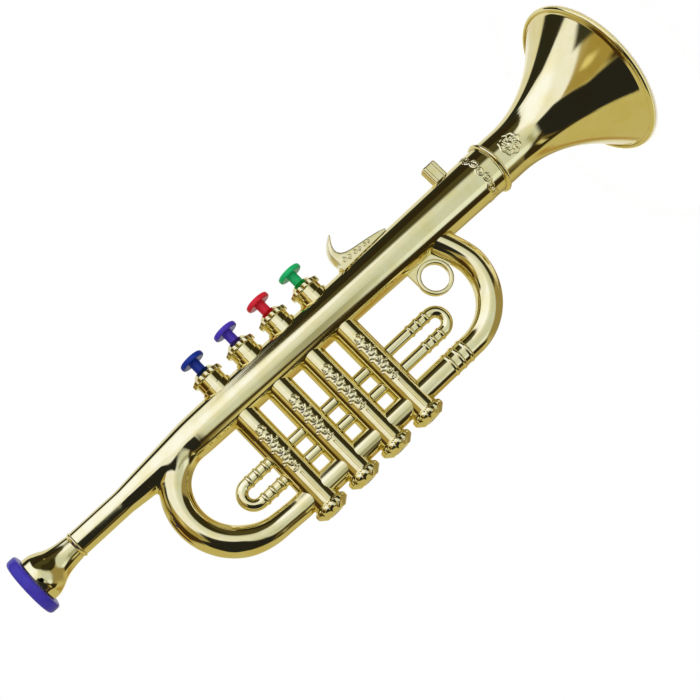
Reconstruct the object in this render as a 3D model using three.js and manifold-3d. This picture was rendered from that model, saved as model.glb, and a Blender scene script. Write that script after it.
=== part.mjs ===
// Toy trumpet with four sprung keys, in millimetres, standing on its bell.
// Each piece is drawn with x along the main tube towards the bell, z towards the keys and y away
// from the side that the photograph shows. The last group turns the whole toy onto its bell.
import * as THREE from 'three';
import { mergeVertices } from 'three/addons/utils/BufferGeometryUtils.js';
import Module from 'manifold-3d';

// Lengths along the main tube, from the lips to the bell
const lipRingWidth = 5.7;
const cupLength = 22.6;
const receiverToSocket = 43.7;   // start of the lead pipe to its joint with the left bend
const socketToBend = 32;         // that joint to the centre of the left bend
const bendToTube = 4.3;          // centre of the left bend to the start of the main tube
const bendToValve = 24.6;        // centre of the left bend to the first valve
const valvePitch = 22;
const valveToHook = 19.8;        // last valve to the back of the finger hook
const valveToRing = 52.4;        // last valve to the centre of the finger ring
const ringToWrap = 19.7;         // finger ring to the outermost line of the right bend
const wrapToPost = 15.9;         // right bend to the near edge of the lyre post
const wrapToCollar = 43.8;       // right bend to the joint with the bell

// Main tube, lead pipe and the tubing below them
const wall = 1.5;
const leadRadius = 6.45;
const leadTaper = 14;            // last part of the lead pipe, which opens to the left bend
const socketRadius = 7.7;
const tubeStartRadius = 10.5;
const tubeEndRadius = 13.6;
const wrapDepth = 60;            // main tube axis to the axis of the lower leg
const legRadius = 6.35;
const lowerTubeRadius = 6.7;     // lower leg between two valves
const wrapTopRadius = 7.55;      // right bend where it leaves the main tube
const wrapLean = 10.7;           // how far the right bend leans to the bell on its way down
const legBandHeight = 0.35;
const slideBandHeight = 0.45;
const bandWidth = 2.6;
const bandPitch = 5.2;
const slideRadius = 3.15;
const slideDepthShare = 0.564;   // of the wrap depth, down to the upper leg of each small slide
const slideGap = 11.4;           // between the axes of the two legs of a slide
const leftSlideReach = 22.6;     // first valve to the centre of the left slide's bend
const rightSlideReach = 35.7;    // last valve to the centre of the right slide's bend

// Mouthpiece
const lipRadius = 15.8;
const lipRound = 2.3;
const lipBore = 8.2;
const cupRadius = 12;
const cupSpigotRadius = 10;
const cupSpigotLength = 3.2;
const throatBore = 2;
const shankRadius = 4.1;
const shankLength = 17;
const ventRadius = 1.1;
const receiverRadius = 7;
const receiverWidth = 3;

// Bell
const bellThroatRadius = 13.7;
const bellThroatLength = 12.5;
const bellFlareLength = 63.3;
const bellRimRadius = 44.4;      // centre of the rolled rim
const bellRimBead = 1.6;
const bellFlarePower = 2.03;
const spigotLength = 9;
const spigotWall = 1.2;
const collarHeight = 1.35;
const collarWidth = 3.8;

// Valves
const casingRadius = 7.6;
const casingWall = 1.4;
const casingTail = 0.75;         // casing below the underside of the lower leg
const bottomRimRadius = 9.35;
const bottomRimWidth = 2.6;
const bottomLobeDip = 0.6;
const bottomSkirt = 0.9;
const bottomCone = 2.9;
const bottomFaceRadius = 5.6;
const bottomDishRadius = 3.8;
const bottomDishDepth = 0.8;
const capFootRadius = 8.3;
const capFootHeight = 0.8;
const capRadius = 7.3;
const capLobeRadius = 8.75;
const capLobeDip = 0.55;
const capLobes = 12;
const capLobeWidth = 2.6;
const capLobeStart = 16.6;       // main tube axis to the underside of the lobed flange
const capConeRadius = 4.8;
const capConeHeight = 2.6;
const capWall = 1.3;

// Keys, springs, pistons and reeds
const keyTravel = 3.5;
const keyRadius = 6.75;
const keyThickness = 1.3;        // underside of the button to its widest line
const keyDome = 1.9;
const keyStand = 5.9;            // top of the cap to the underside of the button
const stemRadius = 2.7;
const stemCollarRadius = 4.6;
const stemCollarThickness = 0.8;
const pinRadius = 1.5;
const pinLength = 3;
const springRadius = 3.9;
const springWire = 0.35;
const springCurls = 4;
const pistonRadius = 3.3;
const pistonLength = 8;
const pistonTop = 4.4;           // top of the piston above the main tube axis
const pistonWaist = 2.2;
const waistLength = 2.4;
const blockOverhang = 10;        // reed block beyond the outer valves
const reedFlat = 5.4;            // main tube axis to the flat that carries the reeds
const reedLength = 14;
const reedWidth = 6;
const reedPlate = 1;
const reedSlotLength = 8.6;
const reedSlotWidth = 2.8;
const tongueThickness = 0.3;

// Finger ring, finger hook and lyre post
const ringGap = 0.5;             // underside of the main tube to the finger ring
const ringHole = 6.8;
const ringRadius = 9.6;
const ringThickness = 3.8;
const ringChamfer = 0.8;
const webThickness = 2.6;
const webReach = 9;              // ring centre to the near edge of the web
const hookLength = 31.3;
const hookHeight = 18.1;
const hookWidth = 9;
const postLength = 8.8;
const postHeight = 9.9;
const postThickness = 5.4;
const postRound = 1;
const ridgeWidth = 1.6;
const ridgeHeight = 0.6;

// Clearance between pieces, and the overrun of a cut
const fit = 0.3;
const overrun = 2;
const weld = 0.0001;

// Faces round a turned piece
const tubeSides = 24;
const bellSides = 32;
const bendSides = 16;
const boreSides = 10;
const slideSides = 8;
const valveSides = 20;
const keySides = 16;

// Places along the tube that the lengths above give
const cupX = lipRingWidth + fit;
const leadX = lipRingWidth + cupLength;
const socketX = leadX + receiverToSocket;
const bendX = socketX + socketToBend;
const tubeX = bendX + bendToTube;
const valveX = [0, 1, 2, 3].map((k) => bendX + bendToValve + k * valvePitch);
const firstValveX = valveX[0];
const lastValveX = valveX[valveX.length - 1];
const hookX = lastValveX + valveToHook;
const ringX = lastValveX + valveToRing;
const wrapX = ringX + ringToWrap;
const postX = wrapX + wrapToPost;
const collarX = wrapX + wrapToCollar;
const rimX = collarX + bellThroatLength + bellFlareLength;
const ringDepth = tubeRadius(ringX) + ringGap + ringRadius;

// Heights that the valve sizes give
const slideDepth = wrapDepth * slideDepthShare;
const casingEnd = -(wrapDepth + legRadius + casingTail);
const capConeStart = capLobeStart + capLobeWidth;
const capTop = capConeStart + capConeHeight;
const stemCollarTop = capTop - capWall - fit;
const stemCollarBottom = stemCollarTop - stemCollarThickness;
const spigotOuterRadius = tubeEndRadius - wall - fit;

const gold = { color: 0xc8b35c, roughness: 0.16, metalness: 0.95 };
const brass = { color: 0xb58a3a, roughness: 0.35, metalness: 0.9 };
const steel = { color: 0xb9bcc0, roughness: 0.3, metalness: 0.9 };
const grey = { color: 0x8d8f92, roughness: 0.6, metalness: 0 };
const purple = { color: 0x4b3cb9, roughness: 0.35, metalness: 0 };
const keyLooks = [
  { name: 'blue', color: 0x142d96 },
  { name: 'violet', color: 0x4b2daa },
  { name: 'red', color: 0xc81928 },
  { name: 'green', color: 0x149650 },
];

const wasm = await Module();
wasm.setup();

// A closed three.js geometry as a manifold solid, for joining and cutting
function toSolid(geometry) {
  const bare = new THREE.BufferGeometry();
  bare.setAttribute('position', geometry.getAttribute('position'));
  bare.setIndex(geometry.index);
  const welded = mergeVertices(bare, weld);
  const corners = Array.from(welded.index.array);
  const kept = [];
  for (let i = 0; i < corners.length; i += 3) {
    const [a, b, c] = corners.slice(i, i + 3);
    if (a !== b && b !== c && c !== a) kept.push(a, b, c);
  }
  return new wasm.Manifold(new wasm.Mesh({
    numProp: 3,
    vertProperties: new Float32Array(welded.getAttribute('position').array),
    triVerts: new Uint32Array(kept),
  }));
}

function toGeometry(solid) {
  const mesh = solid.getMesh();
  const geometry = new THREE.BufferGeometry();
  geometry.setAttribute('position', new THREE.BufferAttribute(mesh.vertProperties, 3));
  geometry.setIndex(new THREE.BufferAttribute(mesh.triVerts, 1));
  return geometry;
}

function piece(name, shape, look) {
  const geometry = shape.isBufferGeometry ? shape : toGeometry(shape);
  const { color, roughness, metalness } = look;
  const material = new THREE.MeshStandardMaterial({ color, roughness, metalness });
  const mesh = new THREE.Mesh(geometry, material);
  mesh.name = name;
  return mesh;
}

function closed(points) {
  const [first, last] = [points[0], points[points.length - 1]];
  const onAxis = first.x === 0 && last.x === 0;
  return onAxis ? points : [...points, first.clone()];
}

// Turned about the tube's axis: pairs of [x, radius], the outside first, from low x to high x
function turnedAlongX(outline, sides) {
  const points = outline.map(([x, radius]) => new THREE.Vector2(radius, x));
  return new THREE.LatheGeometry(closed(points), sides).rotateZ(-Math.PI / 2);
}

// Turned about a valve's axis: pairs of [radius, z], the outside first, from low z to high z
function turnedAlongZ(outline, sides) {
  const points = outline.map(([radius, z]) => new THREE.Vector2(radius, z));
  return new THREE.LatheGeometry(closed(points), sides).rotateX(Math.PI / 2);
}

function rodAlongX(start, end, radius, sides) {
  return turnedAlongX([[start, 0], [start, radius], [end, radius], [end, 0]], sides);
}

function rodAlongZ(start, end, radius, sides) {
  return turnedAlongZ([[0, start], [radius, start], [radius, end], [0, end]], sides);
}

// A flat plate with its outline in x and z, centred on y = 0
function plateAcrossY(outline, thickness) {
  const shape = new THREE.Shape(outline.map(([x, z]) => new THREE.Vector2(x, z)));
  const plate = new THREE.ExtrudeGeometry(shape, { depth: thickness, bevelEnabled: false });
  return plate.rotateX(Math.PI / 2).translate(0, thickness / 2, 0);
}

function boxAt(x, y, z, lengthX, lengthY, lengthZ) {
  return new THREE.BoxGeometry(lengthX, lengthY, lengthZ).translate(x, y, z);
}

// One closed skin over rings of points, each ring turning from outwards towards the path's left
function skin(rings) {
  const sides = rings[0].length;
  const points = rings.flat().flatMap((p) => [p.x, p.y, p.z]);
  const faces = [];
  for (let i = 0; i + 1 < rings.length; i += 1) {
    for (let j = 0; j < sides; j += 1) {
      const a = i * sides + j;
      const d = i * sides + ((j + 1) % sides);
      const b = a + sides;
      const c = d + sides;
      faces.push(a, b, c, a, c, d);
    }
  }
  const last = (rings.length - 1) * sides;
  for (let j = 1; j + 1 < sides; j += 1) {
    faces.push(0, j, j + 1);
    faces.push(last, last + j + 1, last + j);
  }
  const geometry = new THREE.BufferGeometry();
  geometry.setAttribute('position', new THREE.Float32BufferAttribute(points, 3));
  geometry.setIndex(faces);
  return geometry;
}

// A tube of changing radius along stations of { x, z, radius } in the plane of the bends
function sweptTube(stations, sides) {
  const rings = stations.map((here, i) => {
    const before = stations[Math.max(i - 1, 0)];
    const after = stations[Math.min(i + 1, stations.length - 1)];
    const along = new THREE.Vector3(after.x - before.x, 0, after.z - before.z).normalize();
    const side = new THREE.Vector3(-along.z, 0, along.x);
    return Array.from({ length: sides }, (_, j) => {
      const turn = (j / sides) * 2 * Math.PI;
      const point = new THREE.Vector3(here.x, 0, here.z);
      point.addScaledVector(side, here.radius * Math.cos(turn));
      point.y = here.radius * Math.sin(turn);
      return point;
    });
  });
  return skin(rings);
}

function mix(a, b, share) {
  return a + (b - a) * share;
}

function tubeRadius(x) {
  return mix(tubeStartRadius, tubeEndRadius, (x - tubeX) / (collarX - tubeX));
}

// The space that the main tube takes, with the clearance that its neighbours keep
function tubeSpace(shift) {
  const start = tubeX - overrun;
  const end = collarX + overrun;
  const outline = [[start, 0], [start, tubeRadius(start) + fit], [end, tubeRadius(end) + fit], [end, 0]];
  return toSolid(turnedAlongX(outline, tubeSides)).translate([shift, 0, 0]);
}

function casingSpace(x) {
  const rod = rodAlongZ(casingEnd - overrun, 0, casingRadius + fit, valveSides);
  return toSolid(rod.translate(x, 0, 0));
}

// Stations round an arc in the plane of the bends, turned from the direction of the keys
function arcStations(centre, bendRadius, from, to, steps, radiusAt) {
  return Array.from({ length: steps + 1 }, (_, i) => {
    const turn = mix(from, to, i / steps);
    return {
      x: centre.x + bendRadius * Math.sin(turn),
      z: centre.z + bendRadius * Math.cos(turn),
      radius: radiusAt(i / steps),
    };
  });
}

// The left bend leaves the main tube at its full width, keeps an even width round the turn and
// narrows to the lower leg. Its arc opens a little over the last part, where it meets the leg
function leftWrap(inset, extra) {
  const bendShare = 0.484;
  const openShare = 0.033;
  const swellShares = [1, 0.77, 0.57, 0.42, 0.39, 0.4, 0.41, 0.4, 0.39, 0.35, 0.19, 0.05];
  const bend = wrapDepth * bendShare;
  const steps = swellShares.length - 1;
  const radiusAt = (share) => {
    const swell = swellShares[Math.round(share * steps)];
    return mix(legRadius, tubeStartRadius, swell) - inset;
  };
  const centre = { x: bendX, z: -bend };
  const arc = arcStations(centre, bend, 0, -Math.PI, steps, radiusAt).map((station, i) => {
    const open = 1 + openShare * (i / steps) ** 8;
    return {
      x: mix(centre.x, station.x, open),
      z: mix(centre.z, station.z, open),
      radius: station.radius,
    };
  });
  return [
    { x: tubeX + extra, z: 0, radius: tubeStartRadius - inset },
    ...arc,
    { x: firstValveX - valvePitch / 2, z: -wrapDepth, radius: legRadius - inset },
    { x: firstValveX, z: -wrapDepth, radius: legRadius - inset },
  ];
}

// The right bend drops from the main tube, leaning a little to the bell, and turns back below
function rightWrap(inset) {
  const bendShare = 0.515;
  const leanPower = 1.5;
  const bend = wrapDepth * bendShare;
  const centre = { x: wrapX - bend, z: bend - wrapDepth };
  const radiusAt = (share) => mix(wrapTopRadius, legRadius, share) - inset;
  const drop = [0, 0.4, 0.75].map((share) => ({
    x: wrapX - wrapLean * (1 - share) ** leanPower,
    z: centre.z * share,
    radius: wrapTopRadius - inset,
  }));
  return [
    ...drop,
    ...arcStations(centre, bend, Math.PI / 2, Math.PI, 7, radiusAt),
    { x: lastValveX, z: -wrapDepth, radius: legRadius - inset },
  ];
}

function band(x, z, radius, width, height, sides) {
  const outline = [
    [x - width / 2, radius - height],
    [x - width / 4, radius + height],
    [x + width / 4, radius + height],
    [x + width / 2, radius - height],
  ];
  return toSolid(turnedAlongX(outline, sides)).translate([0, 0, z]);
}

function lipRing() {
  const corner = (x, radius, from) => [0, 1, 2, 3].map((i) => {
    const turn = from + (i / 3) * (Math.PI / 2);
    return [x - lipRound * Math.cos(turn), radius + lipRound * Math.sin(turn)];
  });
  const outline = [
    [lipRound, lipBore],
    [0, lipBore + lipRound],
    ...corner(lipRound, lipRadius - lipRound, 0),
    ...corner(lipRingWidth - lipRound, lipRadius - lipRound, Math.PI / 2),
    [lipRingWidth, cupSpigotRadius + fit],
    [cupX - cupSpigotLength - fit, cupSpigotRadius + fit],
    [cupX - cupSpigotLength - fit, lipBore],
  ];
  return turnedAlongX(outline, tubeSides);
}

function mouthpiece() {
  const outsideShares = [
    [0.17, 0.975], [0.33, 0.875], [0.47, 0.733], [0.6, 0.646], [0.78, 0.583], [1, 0.54],
  ];
  const bowlShares = [[0.65, 0.55], [0.5, 0.78], [0.3, 0.93]];
  const front = cupX - cupSpigotLength;
  const bodyLength = leadX - fit - cupX;
  const end = leadX + shankLength;
  const outline = [
    [front, lipBore],
    [front, cupSpigotRadius],
    [cupX, cupSpigotRadius],
    [cupX, cupRadius],
    ...outsideShares.map(([along, across]) => [cupX + bodyLength * along, cupRadius * across]),
    [leadX - fit, shankRadius],
    [end, shankRadius],
    [end, throatBore],
    [cupX + bodyLength * 0.75, throatBore],
    ...bowlShares.map(([along, across]) => [cupX + bodyLength * along, lipBore * across]),
  ];
  const vent = new THREE.CylinderGeometry(ventRadius, ventRadius, cupRadius, boreSides);
  vent.translate(cupX + 2 * ventRadius, -cupRadius, -cupRadius / 4);
  return toSolid(turnedAlongX(outline, tubeSides)).subtract(toSolid(vent));
}

function leadPipe() {
  const spigot = socketRadius - wall - fit;
  const outline = [
    [leadX, leadRadius],
    [leadX, receiverRadius - fit],
    [leadX + receiverWidth * 0.3, receiverRadius],
    [leadX + receiverWidth * 0.7, receiverRadius],
    [leadX + receiverWidth, leadRadius],
    [socketX - leadTaper, leadRadius],
    [socketX - fit, socketRadius],
    [socketX - fit, spigot],
    [socketX + spigotLength, spigot],
    [socketX + spigotLength, spigot - spigotWall],
    [leadX + shankLength + overrun, shankRadius + fit - spigotWall / 2],
    [leadX + shankLength + overrun, shankRadius + fit],
    [leadX, shankRadius + fit],
  ];
  return turnedAlongX(outline, bendSides);
}

function leftBend() {
  const cone = [
    [socketX, 0],
    [socketX, socketRadius],
    [tubeX, tubeStartRadius],
    [tubeX, 0],
  ];
  const bore = [
    [socketX - overrun, 0],
    [socketX - overrun, socketRadius - wall],
    [socketX + spigotLength + overrun, socketRadius - wall],
    [tubeX - spigotLength - overrun, tubeStartRadius - wall],
    [tubeX + overrun, tubeStartRadius - wall],
    [tubeX + overrun, 0],
  ];
  return toSolid(sweptTube(leftWrap(0, 0), bendSides))
    .add(toSolid(turnedAlongX(cone, bendSides)))
    .subtract(toSolid(sweptTube(leftWrap(wall, overrun), boreSides)))
    .subtract(toSolid(turnedAlongX(bore, bendSides)))
    .subtract(casingSpace(firstValveX));
}

function rightBend() {
  const bandX = lastValveX + rightSlideReach;
  let body = toSolid(sweptTube(rightWrap(0), bendSides));
  for (const step of [-2, -1, 0]) {
    const x = bandX + step * bandPitch;
    body = body.add(band(x, -wrapDepth, legRadius, bandWidth, legBandHeight, bendSides));
  }
  return body
    .subtract(toSolid(sweptTube(rightWrap(wall), boreSides)))
    .subtract(casingSpace(lastValveX))
    .subtract(tubeSpace(0));
}

function mainTube() {
  const spigot = tubeStartRadius - wall - fit;
  const start = tubeX + fit;
  const end = collarX - fit;
  const outline = [
    [start - spigotLength, spigot - spigotWall],
    [start - spigotLength, spigot],
    [start, spigot],
    [start, tubeRadius(start)],
    [end, tubeRadius(end)],
    [end, tubeEndRadius - wall],
    [start + wall, tubeRadius(start) - wall],
    [start + wall, spigot - spigotWall],
  ];
  let body = toSolid(turnedAlongX(outline, tubeSides));
  for (const x of valveX) {
    const hole = rodAlongZ(0, tubeEndRadius + overrun, stemRadius + fit, keySides);
    body = body.subtract(toSolid(hole.translate(x, 0, 0)));
  }
  return body;
}

function bell() {
  const flareX = collarX + bellThroatLength;
  const flareEnd = bellRimRadius;
  const steps = 9;
  const flare = Array.from({ length: steps }, (_, i) => {
    const share = 1 - (1 - i / steps) ** 1.4;
    const radius = mix(bellThroatRadius, flareEnd, share ** bellFlarePower);
    return [flareX + bellFlareLength * share, radius];
  });
  const bead = [135, 90, 45].map((degrees) => {
    const turn = THREE.MathUtils.degToRad(degrees);
    return [rimX + bellRimBead * Math.cos(turn), bellRimRadius + bellRimBead * Math.sin(turn)];
  });
  const inside = flare.map(([x, radius]) => [x, radius - wall]).reverse();
  const outline = [
    [collarX - spigotLength, spigotOuterRadius - spigotWall],
    [collarX - spigotLength, spigotOuterRadius],
    [collarX, spigotOuterRadius],
    [collarX, bellThroatRadius],
    ...flare,
    [rimX - bellRimBead, bellRimRadius],
    ...bead,
    [rimX + bellRimBead, bellRimRadius],
    [rimX + bellRimBead, bellRimRadius - bellRimBead],
    ...inside,
    [collarX + wall, bellThroatRadius - wall],
    [collarX + wall, spigotOuterRadius - spigotWall],
  ];
  return turnedAlongX(outline, bellSides);
}

function collarRing() {
  const bore = bellThroatRadius + fit;
  const outline = [
    [collarX - collarWidth / 2, bore],
    [collarX - collarWidth / 2, bore + collarHeight / 3],
    [collarX - collarWidth / 4, bore + collarHeight * 0.85],
    [collarX, bore + collarHeight],
    [collarX + collarWidth / 4, bore + collarHeight * 0.85],
    [collarX + collarWidth / 2, bore + collarHeight / 3],
    [collarX + collarWidth / 2, bore],
  ];
  return turnedAlongX(outline, tubeSides);
}

// A small U slide: two legs from the valve casing and a half-round bend, with three bands on each
function slide(caseX, reach) {
  const way = Math.sign(reach);
  const bendRadius = slideGap / 2;
  const centre = { x: caseX + reach, z: -slideDepth - bendRadius };
  const stations = [
    { x: caseX, z: -slideDepth, radius: slideRadius },
    ...arcStations(centre, bendRadius, 0, way * Math.PI, 10, () => slideRadius),
    { x: caseX, z: -slideDepth - slideGap, radius: slideRadius },
  ];
  let body = toSolid(sweptTube(stations, slideSides));
  const bandStart = caseX + reach - way * bandWidth;
  for (const step of [0, 1, 2]) {
    const x = bandStart - way * step * bandPitch;
    for (const z of [-slideDepth, -slideDepth - slideGap]) {
      body = body.add(band(x, z, slideRadius, bandWidth, slideBandHeight, slideSides));
    }
  }
  return body.subtract(casingSpace(caseX));
}

// The short tubes between two valves: the thick lower one and the two thin links
function crossTube(x, z, radius, sides) {
  const rod = rodAlongX(x, x + valvePitch, radius, sides).translate(0, 0, z);
  return toSolid(rod).subtract(casingSpace(x)).subtract(casingSpace(x + valvePitch));
}

function casing(x) {
  const outline = [
    [casingRadius - casingWall, casingEnd],
    [casingRadius, casingEnd],
    [casingRadius, 0],
    [casingRadius - casingWall, 0],
  ];
  return toSolid(turnedAlongZ(outline, valveSides)).subtract(tubeSpace(-x));
}

// A scalloped flange about the axis of a valve, from the height start upwards
function lobedFlange(radius, dip, start, depth) {
  const points = Array.from({ length: capLobes * 4 }, (_, i) => {
    const turn = (i / (capLobes * 4)) * 2 * Math.PI;
    const reach = radius - dip * (1 - Math.cos(turn * capLobes)) / 2;
    return new THREE.Vector2(reach * Math.cos(turn), reach * Math.sin(turn));
  });
  const flange = new THREE.ExtrudeGeometry(new THREE.Shape(points), { depth, bevelEnabled: false });
  return toSolid(flange.translate(0, 0, start));
}

function bottomCap() {
  const top = casingEnd - fit;
  const rimTop = top - bottomSkirt;
  const rimEnd = rimTop - bottomRimWidth;
  const face = rimEnd - bottomCone;
  const spigot = casingRadius - casingWall - fit;
  const waist = bottomRimRadius - bottomLobeDip;
  const outline = [
    [0, face + bottomDishDepth],
    [bottomDishRadius - bottomDishDepth, face + bottomDishDepth],
    [bottomDishRadius, face],
    [bottomFaceRadius, face],
    [waist, rimEnd],
    [waist, rimTop],
    [casingRadius, top],
    [spigot, top],
    [spigot, top + spigotLength / 2],
    [0, top + spigotLength / 2],
  ];
  return toSolid(turnedAlongZ(outline, valveSides))
    .add(lobedFlange(bottomRimRadius, bottomLobeDip, rimEnd, bottomRimWidth));
}

function topCap(x) {
  const footTop = tubeRadius(x) + capFootHeight;
  const chamber = capRadius - capWall;
  const outside = [
    [0, 0],
    [capFootRadius, 0],
    [capFootRadius, footTop],
    [capRadius, footTop],
    [capRadius, capConeStart + fit],
    [capConeRadius, capTop],
    [0, capTop],
  ];
  const stemHole = rodAlongZ(0, capTop + overrun, stemRadius + fit, keySides);
  return toSolid(turnedAlongZ(outside, valveSides))
    .add(lobedFlange(capLobeRadius, capLobeDip, capLobeStart, capLobeWidth))
    .subtract(toSolid(rodAlongZ(-overrun, capTop - capWall, chamber, keySides)))
    .subtract(toSolid(stemHole))
    .subtract(tubeSpace(-x));
}

function key() {
  const under = capTop + keyStand;
  const widest = under + keyThickness;
  const stemEnd = pistonTop + fit;
  const domeShares = [[0.96, 0.3], [0.8, 0.7], [0.45, 0.95], [0, 1]];
  const outline = [
    [0, stemEnd - pinLength],
    [pinRadius, stemEnd - pinLength],
    [pinRadius, stemEnd],
    [stemRadius, stemEnd],
    [stemRadius, stemCollarBottom],
    [stemCollarRadius, stemCollarBottom],
    [stemCollarRadius, stemCollarTop],
    [stemRadius, stemCollarTop],
    [stemRadius, under],
    [keyRadius * 0.94, under],
    [keyRadius, mix(under, widest, 0.6)],
    ...domeShares.map(([across, up]) => [keyRadius * across, widest + keyDome * up]),
  ];
  return turnedAlongZ(outline, keySides);
}

function piston() {
  const bottom = pistonTop - pistonLength;
  const waistTop = mix(bottom, pistonTop, 0.5);
  const waistEnd = waistTop - waistLength;
  const socket = pinRadius + fit;
  const outline = [
    [0, bottom],
    [pistonRadius, bottom],
    [pistonRadius, waistEnd],
    [pistonWaist, waistEnd],
    [pistonWaist, waistTop],
    [pistonRadius, waistTop],
    [pistonRadius, pistonTop],
    [socket, pistonTop],
    [socket, pistonTop - pinLength],
    [0, pistonTop - pinLength],
  ];
  return turnedAlongZ(outline, boreSides);
}

// The spring stands on the main tube round the stem and lifts the stem's collar
function spring(x) {
  const start = tubeRadius(x) + fit + springWire;
  const end = stemCollarBottom - fit - springWire;
  const perCurl = 8;
  const wireSides = 5;
  const centres = Array.from({ length: springCurls * perCurl + 1 }, (_, i) => {
    const turn = (i / perCurl) * 2 * Math.PI;
    const z = mix(start, end, i / (springCurls * perCurl));
    return new THREE.Vector3(springRadius * Math.cos(turn), springRadius * Math.sin(turn), z);
  });
  const rings = centres.map((centre, i) => {
    const turn = (i / perCurl) * 2 * Math.PI;
    return Array.from({ length: wireSides }, (_, j) => {
      const round = (j / wireSides) * 2 * Math.PI;
      const out = springWire * Math.cos(round);
      return centre.clone().add(new THREE.Vector3(
        out * Math.cos(turn),
        out * Math.sin(turn),
        springWire * Math.sin(round),
      ));
    });
  });
  let leastGap = Infinity;
  centres.forEach((a, i) => centres.slice(i + perCurl / 2).forEach((b) => {
    leastGap = Math.min(leastGap, a.distanceTo(b) - 2 * springWire);
  }));
  console.log('least gap between the curls of a spring:', leastGap.toFixed(2), 'mm');
  return skin(rings);
}

// The block that guides the pistons; a flat along it carries one reed for each key
function reedBlock() {
  const start = firstValveX - blockOverhang;
  const end = lastValveX + blockOverhang;
  const radiusAt = (x) => tubeRadius(x) - wall - fit;
  const outline = [[start, 0], [start, radiusAt(start)], [end, radiusAt(end)], [end, 0]];
  const beyond = tubeEndRadius;
  const middle = (start + end) / 2;
  let body = toSolid(turnedAlongX(outline, tubeSides));
  body = body.subtract(toSolid(boxAt(middle, reedFlat + beyond / 2, 0, 2 * end, beyond, 2 * beyond)));
  for (const x of valveX) {
    const bore = rodAlongZ(-beyond, beyond, pistonRadius + fit, boreSides);
    const port = boxAt(x, reedFlat, 0, reedSlotLength, 2 * reedFlat, reedSlotWidth);
    body = body.subtract(toSolid(bore.translate(x, 0, 0))).subtract(toSolid(port));
  }
  return body;
}

function reedPlateShape() {
  const face = reedFlat + fit;
  const plate = toSolid(boxAt(0, face + reedPlate / 2, 0, reedLength, reedPlate, reedWidth));
  const slot = toSolid(boxAt(0, face, 0, reedSlotLength, 2 * reedPlate + overrun, reedSlotWidth));
  const tongueLength = reedSlotLength - fit;
  const tongue = boxAt(fit, face + tongueThickness / 2, 0, tongueLength, tongueThickness,
    reedSlotWidth - 2 * fit);
  return plate.subtract(slot).add(toSolid(tongue));
}

function fingerRing() {
  const half = ringThickness / 2;
  const rimOutline = [
    [ringHole, -half + ringChamfer],
    [ringHole + ringChamfer, -half],
    [ringRadius - ringChamfer, -half],
    [ringRadius, -half + ringChamfer],
    [ringRadius, half - ringChamfer],
    [ringRadius - ringChamfer, half],
    [ringHole + ringChamfer, half],
    [ringHole, half - ringChamfer],
  ];
  const rimPoints = rimOutline.map(([radius, y]) => new THREE.Vector2(radius, y));
  const rim = new THREE.LatheGeometry(closed(rimPoints), valveSides).translate(ringX, 0, -ringDepth);
  const web = plateAcrossY([
    [ringX - webReach, 0],
    [ringX - webReach, -ringDepth],
    [ringX, -ringDepth],
    [wrapX, mix(0, -ringDepth, 0.96)],
    [wrapX, 0],
  ], webThickness);
  const hole = new THREE.CylinderGeometry(ringHole + ringChamfer, ringHole + ringChamfer,
    ringThickness, valveSides);
  return toSolid(web)
    .subtract(toSolid(hole.translate(ringX, 0, -ringDepth)))
    .add(toSolid(rim))
    .subtract(tubeSpace(0))
    .subtract(toSolid(sweptTube(rightWrap(-fit), bendSides)));
}

function fingerHook() {
  const base = tubeRadius(hookX) - fit;
  const outlineShares = [
    [0, -0.2], [1, -0.2], [1, 0.058], [0.863, 0.14], [0.578, 0.224], [0.4, 0.262], [0.265, 0.312],
    [0.173, 0.395], [0.137, 0.505], [0.144, 0.616], [0.169, 0.727], [0.211, 0.843], [0.262, 0.964],
    [0.243, 1], [0.211, 0.96], [0.118, 0.843], [0.067, 0.727], [0.032, 0.616], [0.016, 0.505],
    [0.013, 0.395], [0.013, 0.31], [0.02, 0.22], [0.013, 0.14], [-0.025, 0.06],
  ];
  const outline = outlineShares.map(([along, up]) => [hookX + hookLength * along, base + hookHeight * up]);
  return toSolid(plateAcrossY(outline, hookWidth)).subtract(tubeSpace(0));
}

function lyrePost() {
  const top = tubeRadius(postX) + postHeight;
  const height = postHeight + tubeRadius(postX) / 2;
  const across = postThickness - 2 * postRound;
  const along = postLength - 2 * postRound;
  const shape = new THREE.Shape([[-1, -1], [1, -1], [1, 1], [-1, 1]].map(
    ([a, b]) => new THREE.Vector2((a * along) / 2, (b * across) / 2),
  ));
  const block = new THREE.ExtrudeGeometry(shape, {
    depth: height - postRound,
    bevelEnabled: true,
    bevelThickness: postRound,
    bevelSize: postRound,
    bevelSegments: 2,
  });
  const middle = postX + postLength / 2;
  let body = toSolid(block.translate(middle, 0, top - height));
  for (const side of [-1, 1]) {
    const x = middle + side * (postLength / 2 - ridgeWidth);
    const ridge = boxAt(x, 0, top - postRound - height / 2, ridgeWidth, postThickness + 2 * ridgeHeight,
      height - postRound);
    body = body.add(toSolid(ridge));
  }
  return body.subtract(tubeSpace(0));
}

function valve(k) {
  const x = valveX[k];
  const number = k + 1;
  const look = { color: keyLooks[k].color, roughness: 0.3, metalness: 0 };
  const group = new THREE.Group();
  group.add(piece(`valve_casing_${number}`, casing(x), gold));
  group.add(piece(`bottom_cap_${number}`, bottomCap(), gold));
  group.add(piece(`top_cap_${number}`, topCap(x), gold));
  group.add(piece(`${keyLooks[k].name}_key`, key(), look));
  group.add(piece(`piston_${number}`, piston(), grey));
  group.add(piece(`spring_${number}`, spring(x), steel));
  group.add(piece(`reed_plate_${number}`, reedPlateShape(), brass));
  group.position.x = x;
  return group;
}

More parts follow.
